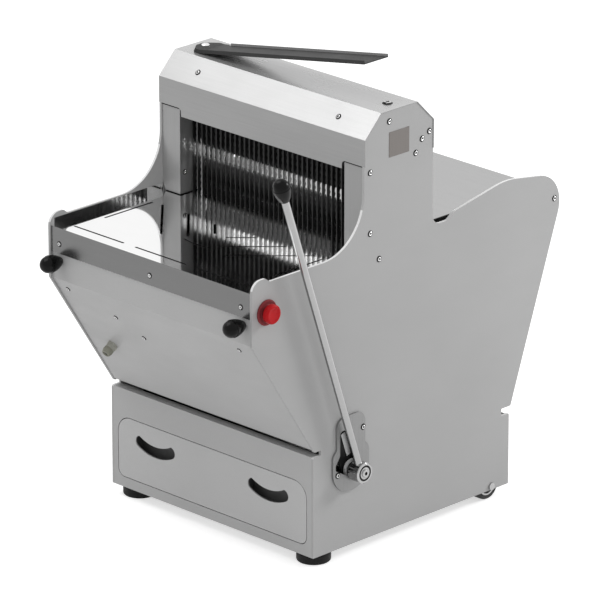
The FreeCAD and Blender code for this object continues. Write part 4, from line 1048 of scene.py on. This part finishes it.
@dataclass
class Lever:
    """Hand lever with its knob, hub and shaft, the bracket plate and the pusher's arms."""

    axis_y: float = 98.0
    axis_z: float = 142.5
    lean: float = 18.8
    rod_x: float = 530.0
    reach: float = 580.0
    hub_x: float = 517.0
    shaft_end: float = 541.0
    hub_radius: float = 19.0
    hub_length: float = 24.0
    bore: float = 10.1
    rib_face: float = 504.0
    rib_slack: float = 0.4

    def on_axis(self, x: float) -> list[tuple[Vector, Vector]]:
        """Place on the shaft's axis, looking right."""
        return [(spot(x, self.axis_y, self.axis_z), TO_RIGHT)]

    def make(self) -> None:
        """Build the knob, hub and end bolt, and dress the rest."""
        dress(Finish.ROD, "lever_rod")
        dress(Finish.HUB, "lever_shaft", "shaft_bushes")
        dress(Finish.BRACKET, "lever_bracket_plate")
        dress(Finish.FRAME, "lever_arms")
        dress_faces("lever_arms", Finish.ARM, TO_RIGHT, spot(self.rib_face - self.rib_slack, 0, 0).x)
        tilt = math.radians(self.lean)
        along = Vector((0, -math.sin(tilt), math.cos(tilt)))
        foot = spot(self.rod_x, self.axis_y, self.axis_z) + along * (self.reach / METRE)
        Knob().make("lever_knob_egg", foot, along, "lever", "lever_knob")
        r, end = self.hub_radius, self.hub_length
        # band 1 paints the groove in the hub's end black, as painted shade
        hub = [
            *row((self.bore, 0), (r - 0.8, 0), (r, 0.8), (r, end - 1.4), (r - 1.4, end)),
            *row((14.6, end), (14.0, end - 1.2), band=1),
            *row((11.4, end - 1.2), (11.0, end), (self.bore, end)),
        ]
        Turning(hub, 64, True).piece("turned_lever_hub", self.on_axis(self.hub_x), [Finish.HUB, Finish.FRAME],
                                     "lever", Slot.ZINC, "lever_hub")
        # band 1 paints the socket black, as painted shade
        bolt = [
            *row((0, 0.6), band=1),
            *row((3.6, 0.6), band=1, outline=Outline.HEXAGON),
            *row((3.6, 2.6), outline=Outline.HEXAGON),
            *row((4.4, 3.0), (6.4, 2.6), (7.2, 1.6), (7.4, 0.02), (0, 0.02)),
        ]
        Turning(bolt, 48).piece("lever_end_bolt", self.on_axis(self.shaft_end), [Finish.ZINC, Finish.FRAME],
                                "lever", Slot.ZINC)


@dataclass
class Pusher:
    """Slotted plate that pushes the loaf, with its beam, carriages and rods."""

    def make(self) -> None:
        """Dress the pusher."""
        dress(Finish.COMB, "pusher_comb")
        dress(Finish.FRAME, "pusher_beam")
        dress(Finish.ZINC, "pusher_carriages", "guide_rods")


@dataclass
class Drawer:
    """Crumb drawer with its curved grips, on its runners."""

    def make(self) -> None:
        """Dress the drawer."""
        # painted light: the drawer front in a lightened copy of the panel paint
        dress(Finish.DRAWER, "drawer_front")
        dress(Finish.GRIP, "drawer_grip_cups")
        dress(Finish.REAR_TABLE, "drawer_tray")
        dress(Finish.ZINC, "drawer_runners")


@dataclass
class CarryHandles:
    """Two pull-out carrying rods with egg knobs."""

    rod_x: Pair = (25.5, 484.5)
    knob_y: float = -147.0
    knob_radius: float = 16.4
    knob_length: float = 42.0
    rod_z: float = 469.5

    def make(self) -> None:
        """Build the knobs and dress the rods and tubes."""
        knob = Knob(self.knob_radius, self.knob_length)
        for side, x in zip(("left", "right"), self.rod_x):
            knob.make(f"{side}_handle_egg", spot(x, self.knob_y, self.rod_z), TO_FRONT, "handle_" + side,
                      "handle_knob_" + side)
        dress(Finish.ROD, "handle_rod_left", "handle_rod_right")
        dress(Finish.ZINC, "handle_guide_tubes")


@dataclass
class StopButton:
    """Emergency stop: red head on its stem in a dark red collar."""

    face_x: float = 510.0
    y: float = -114.2
    z: float = 491.1

    def make(self) -> None:
        """Build the head and the collar."""
        place = [(spot(self.face_x, self.y, self.z), TO_RIGHT)]
        head = row((0, -1), (9.4, -1), (10, -0.4), (10, 8), (16.2, 8), (17.2, 8.6))
        head += flowing([(17.5, 10), (17.5, 15.4), (16.9, 17.6), (15.2, 18.8), (13.0, 19.0), (11.0, 18.6),
                         (6.0, 18.3), (0.0, 18.2)], 0, 4)
        Turning(head, 64).piece("stop_head", place, [Finish.STOP], "stop_button", Slot.STOP, "estop_button")
        collar = row((10.4, 0), (22.9, 0), (23.3, 0.5), (23.3, 2.2), (22.4, 3.2), (20.6, 3.5), (19.8, 3.0),
                     (15.5, 2.8), (14.6, 3.4), (11.2, 3.4), (10.4, 2.8))
        Turning(collar, 64, True).piece("stop_collar", place, [Finish.STOP_COLLAR], "housing", Slot.COLLAR,
                                        "estop_collar")


@dataclass
class Gland:
    """Cable gland on the apron's slope, with a fluted cap."""

    foot: Triple = (68.0, -59.4, 299.6)
    crease: Pair = (-144.4, 434.0)
    slope_foot: Pair = (2.0, 202.6)
    bore: float = 4.5

    def make(self) -> None:
        """Build the gland square to the slope."""
        run_y = self.slope_foot[0] - self.crease[0]
        run_z = self.slope_foot[1] - self.crease[1]
        outward = Vector((0, run_z, -run_y))
        rings = [
            *row((self.bore, -10), (5.6, -10), (6, -9.4), (6, 0)),
            *row((11, 0), (11, 5.2), outline=Outline.HEXAGON),
            *row((10, 6), (9.3, 6)),
            *row((9.3, 11), (8.9, 11.3), band=1),
            *row((9.5, 11.8), (9.5, 17.6), band=1, outline=Outline.FLUTED),
            *row((8.9, 18.4), (7.9, 22.2), (7.0, 23), (5.8, 23), band=1),
            *row((self.bore, 20), band=2),
        ]
        finishes = [Finish.GLAND_BODY, Finish.GLAND_CAP, Finish.GRIP]
        Turning(rings, 120, True).piece("fluted_gland", [(spot(*self.foot), outward)], finishes, "housing",
                                        Slot.GLAND, "cable_gland")


@dataclass
class Wheels:
    """Two rear wheels with tyres, bright rim rings and dark hubs, and their axle bolts."""

    middle_y: float = 456.0
    middle_z: float = 7.0
    sides: tuple[tuple[str, float, float], ...] = (("left", 7.0, 1.0), ("right", 503.0, -1.0))
    width: float = 34.0
    radius: float = 28.0

    def make(self) -> None:
        """Build the wheels and dress the axles."""
        r = self.radius
        half = [
            *row((4.2, 0), (8.6, 0), (9.0, 0.5), (9.0, 2.6), band=1),
            *row((16.0, 3.4), (16.6, 2.2), (19.6, 2.0), band=2),
            *row((20.4, 2.8), (21.0, 1.4), (24.5, 1.1), (26.6, 2.4), (27.7, 4.6)),
            *row((r, 8.0), (r, self.width / 2)),
        ]
        followers = half[-3::-1] + half[:1]
        mirror = [Ring(ring.radius, self.width - ring.height, band=follower.band)
                  for ring, follower in zip(half[-2::-1], followers)]
        for side, x, way in self.sides:
            place = [(spot(x, self.middle_y, self.middle_z), TO_RIGHT * way)]
            finishes = [Finish.TYRE, Finish.BOX, Finish.ZINC]
            Turning(half + mirror, 64, True).piece(f"{side}_wheel_tyre", place, finishes, f"{side}_wheel",
                                                   Slot.RUBBER, "wheel_" + side)
        dress(Finish.ZINC, "wheel_axles")


# Studio


@dataclass(frozen=True)
class Softbox:
    """Square lamp: side and distance in metres, direction from the machine, and brightness of its face."""

    name: str
    towards: Triple
    side: float
    distance: float
    brightness: float

    def make(self, middle: Vector) -> None:
        """Hang the lamp.

        Args:
            middle: place of the machine's middle, which it faces.
        """
        lamp = bpy.data.lights.new(self.name, "AREA")
        lamp.shape = "SQUARE"
        lamp.size = self.side
        lamp.energy = self.brightness * math.pi * self.side ** 2
        thing = bpy.data.objects.new(self.name, lamp)
        way = Vector(self.towards).normalized()
        thing.location = middle + way * self.distance
        thing.rotation_euler = way.to_track_quat("Z", "Y").to_euler()
        bpy.context.scene.collection.objects.link(thing)


@dataclass
class Studio:
    """White room with soft lamps, the floor and the camera."""

    eye: Triple = (7.216556, -7.272827, 4.16569)
    target: Triple = (-0.016514, 0.004893, 0.3799)
    lens: float = 367.7
    sensor: float = 36.0
    nearest: float = 0.1
    farthest: float = 60.0
    fill: float = 0.6
    floor_side: float = 40.0
    floor_grey: float = 0.8
    floor_glow: float = 0.6
    lamps: tuple[Softbox, ...] = (
        Softbox("overhead_left", (-0.35, -0.30, 0.88), 2.4, 3.6, 2.3),
        Softbox("rear_right", (0.48, 0.80, 0.42), 0.7, 3.4, 30.0),
    )

    def make(self) -> None:
        """Build the whole studio."""
        self.camera()
        self.room()
        self.floor()
        for lamp in self.lamps:
            lamp.make(Vector(self.target))
        bpy.context.scene.view_settings.view_transform = "Standard"

    def camera(self) -> None:
        """Set the camera at the photograph's place."""
        data = bpy.data.cameras.new("camera")
        data.lens = self.lens
        data.sensor_width = self.sensor
        data.clip_start = self.nearest
        data.clip_end = self.farthest
        thing = bpy.data.objects.new("camera", data)
        thing.location = self.eye
        thing.rotation_euler = (Vector(self.eye) - Vector(self.target)).to_track_quat("Z", "Y").to_euler()
        bpy.context.scene.collection.objects.link(thing)
        bpy.context.scene.camera = thing

    def seen(self, tree: bpy.types.NodeTree) -> Socket:
        """Tell the rays that see a surface from those that only light it.

        Args:
            tree: node tree that the test goes into.

        Returns:
            A socket that is 1 for rays from the camera, a mirror or glass.
        """
        path = add_node(tree, "LightPath")
        total = path.outputs["Is Camera Ray"]
        for name in ("Is Glossy Ray", "Is Transmission Ray"):
            add = add_node(tree, "Math", operation="ADD", use_clamp=True)
            tree.links.new(total, add.inputs[0])
            tree.links.new(path.outputs[name], add.inputs[1])
            total = add.outputs[0]
        return total

    def room(self) -> None:
        """Soft light from all round, and a white room where it is seen."""
        world = bpy.data.worlds.new("room")
        bpy.context.scene.world = world
        world.use_nodes = True
        tree = world.node_tree
        tree.nodes.clear()
        output = add_node(tree, "OutputWorld")
        mix = add_node(tree, "MixShader")
        tree.links.new(self.seen(tree), mix.inputs[0])
        for i, level in ((1, self.fill), (2, 1.0)):
            light = add_node(tree, "Background", Color=(1, 1, 1, 1), Strength=level)
            tree.links.new(light.outputs[0], mix.inputs[i])
        tree.links.new(mix.outputs[0], output.inputs[0])

    def floor(self) -> None:
        """Pale floor that is white where it is seen and keeps the machine's shadow."""
        half = self.floor_side / 2
        mesh = bpy.data.meshes.new("studio_floor")
        corners = [(-half, -half, 0), (half, -half, 0), (half, half, 0), (-half, half, 0)]
        mesh.from_pydata(corners, [], [(0, 1, 2, 3)])
        thing = bpy.data.objects.new("studio_floor", mesh)
        bpy.context.scene.collection.objects.link(thing)
        material = bpy.data.materials.new("pale_floor")
        material.use_nodes = True
        tree = material.node_tree
        tree.nodes.clear()
        output = add_node(tree, "OutputMaterial")
        add = add_node(tree, "AddShader")
        matt = add_node(tree, "BsdfDiffuse", Color=(*grey(self.floor_grey), 1))
        glow = add_node(tree, "Emission")
        scale = add_node(tree, "Math", operation="MULTIPLY")
        scale.inputs[1].default_value = self.floor_glow
        tree.links.new(self.seen(tree), scale.inputs[0])
        tree.links.new(scale.outputs[0], glow.inputs["Strength"])
        tree.links.new(matt.outputs[0], add.inputs[0])
        tree.links.new(glow.outputs[0], add.inputs[1])
        tree.links.new(add.outputs[0], output.inputs[0])
        mesh.materials.append(material)


def main() -> None:
    """Build the studio, then the machine one sub-assembly at a time."""
    logging.basicConfig(level=logging.INFO, format="%(name)s: %(message)s")
    for part in (Studio(), Casework(), Hood(), Tables(), Blades(), Drive(), Lever(), Pusher(), Drawer(),
                 CarryHandles(), StopButton(), Gland(), Wheels(), Screws()):
        part.make()
        LOG.info("%s done", type(part).__name__)


if __name__ == "__main__":
    main()
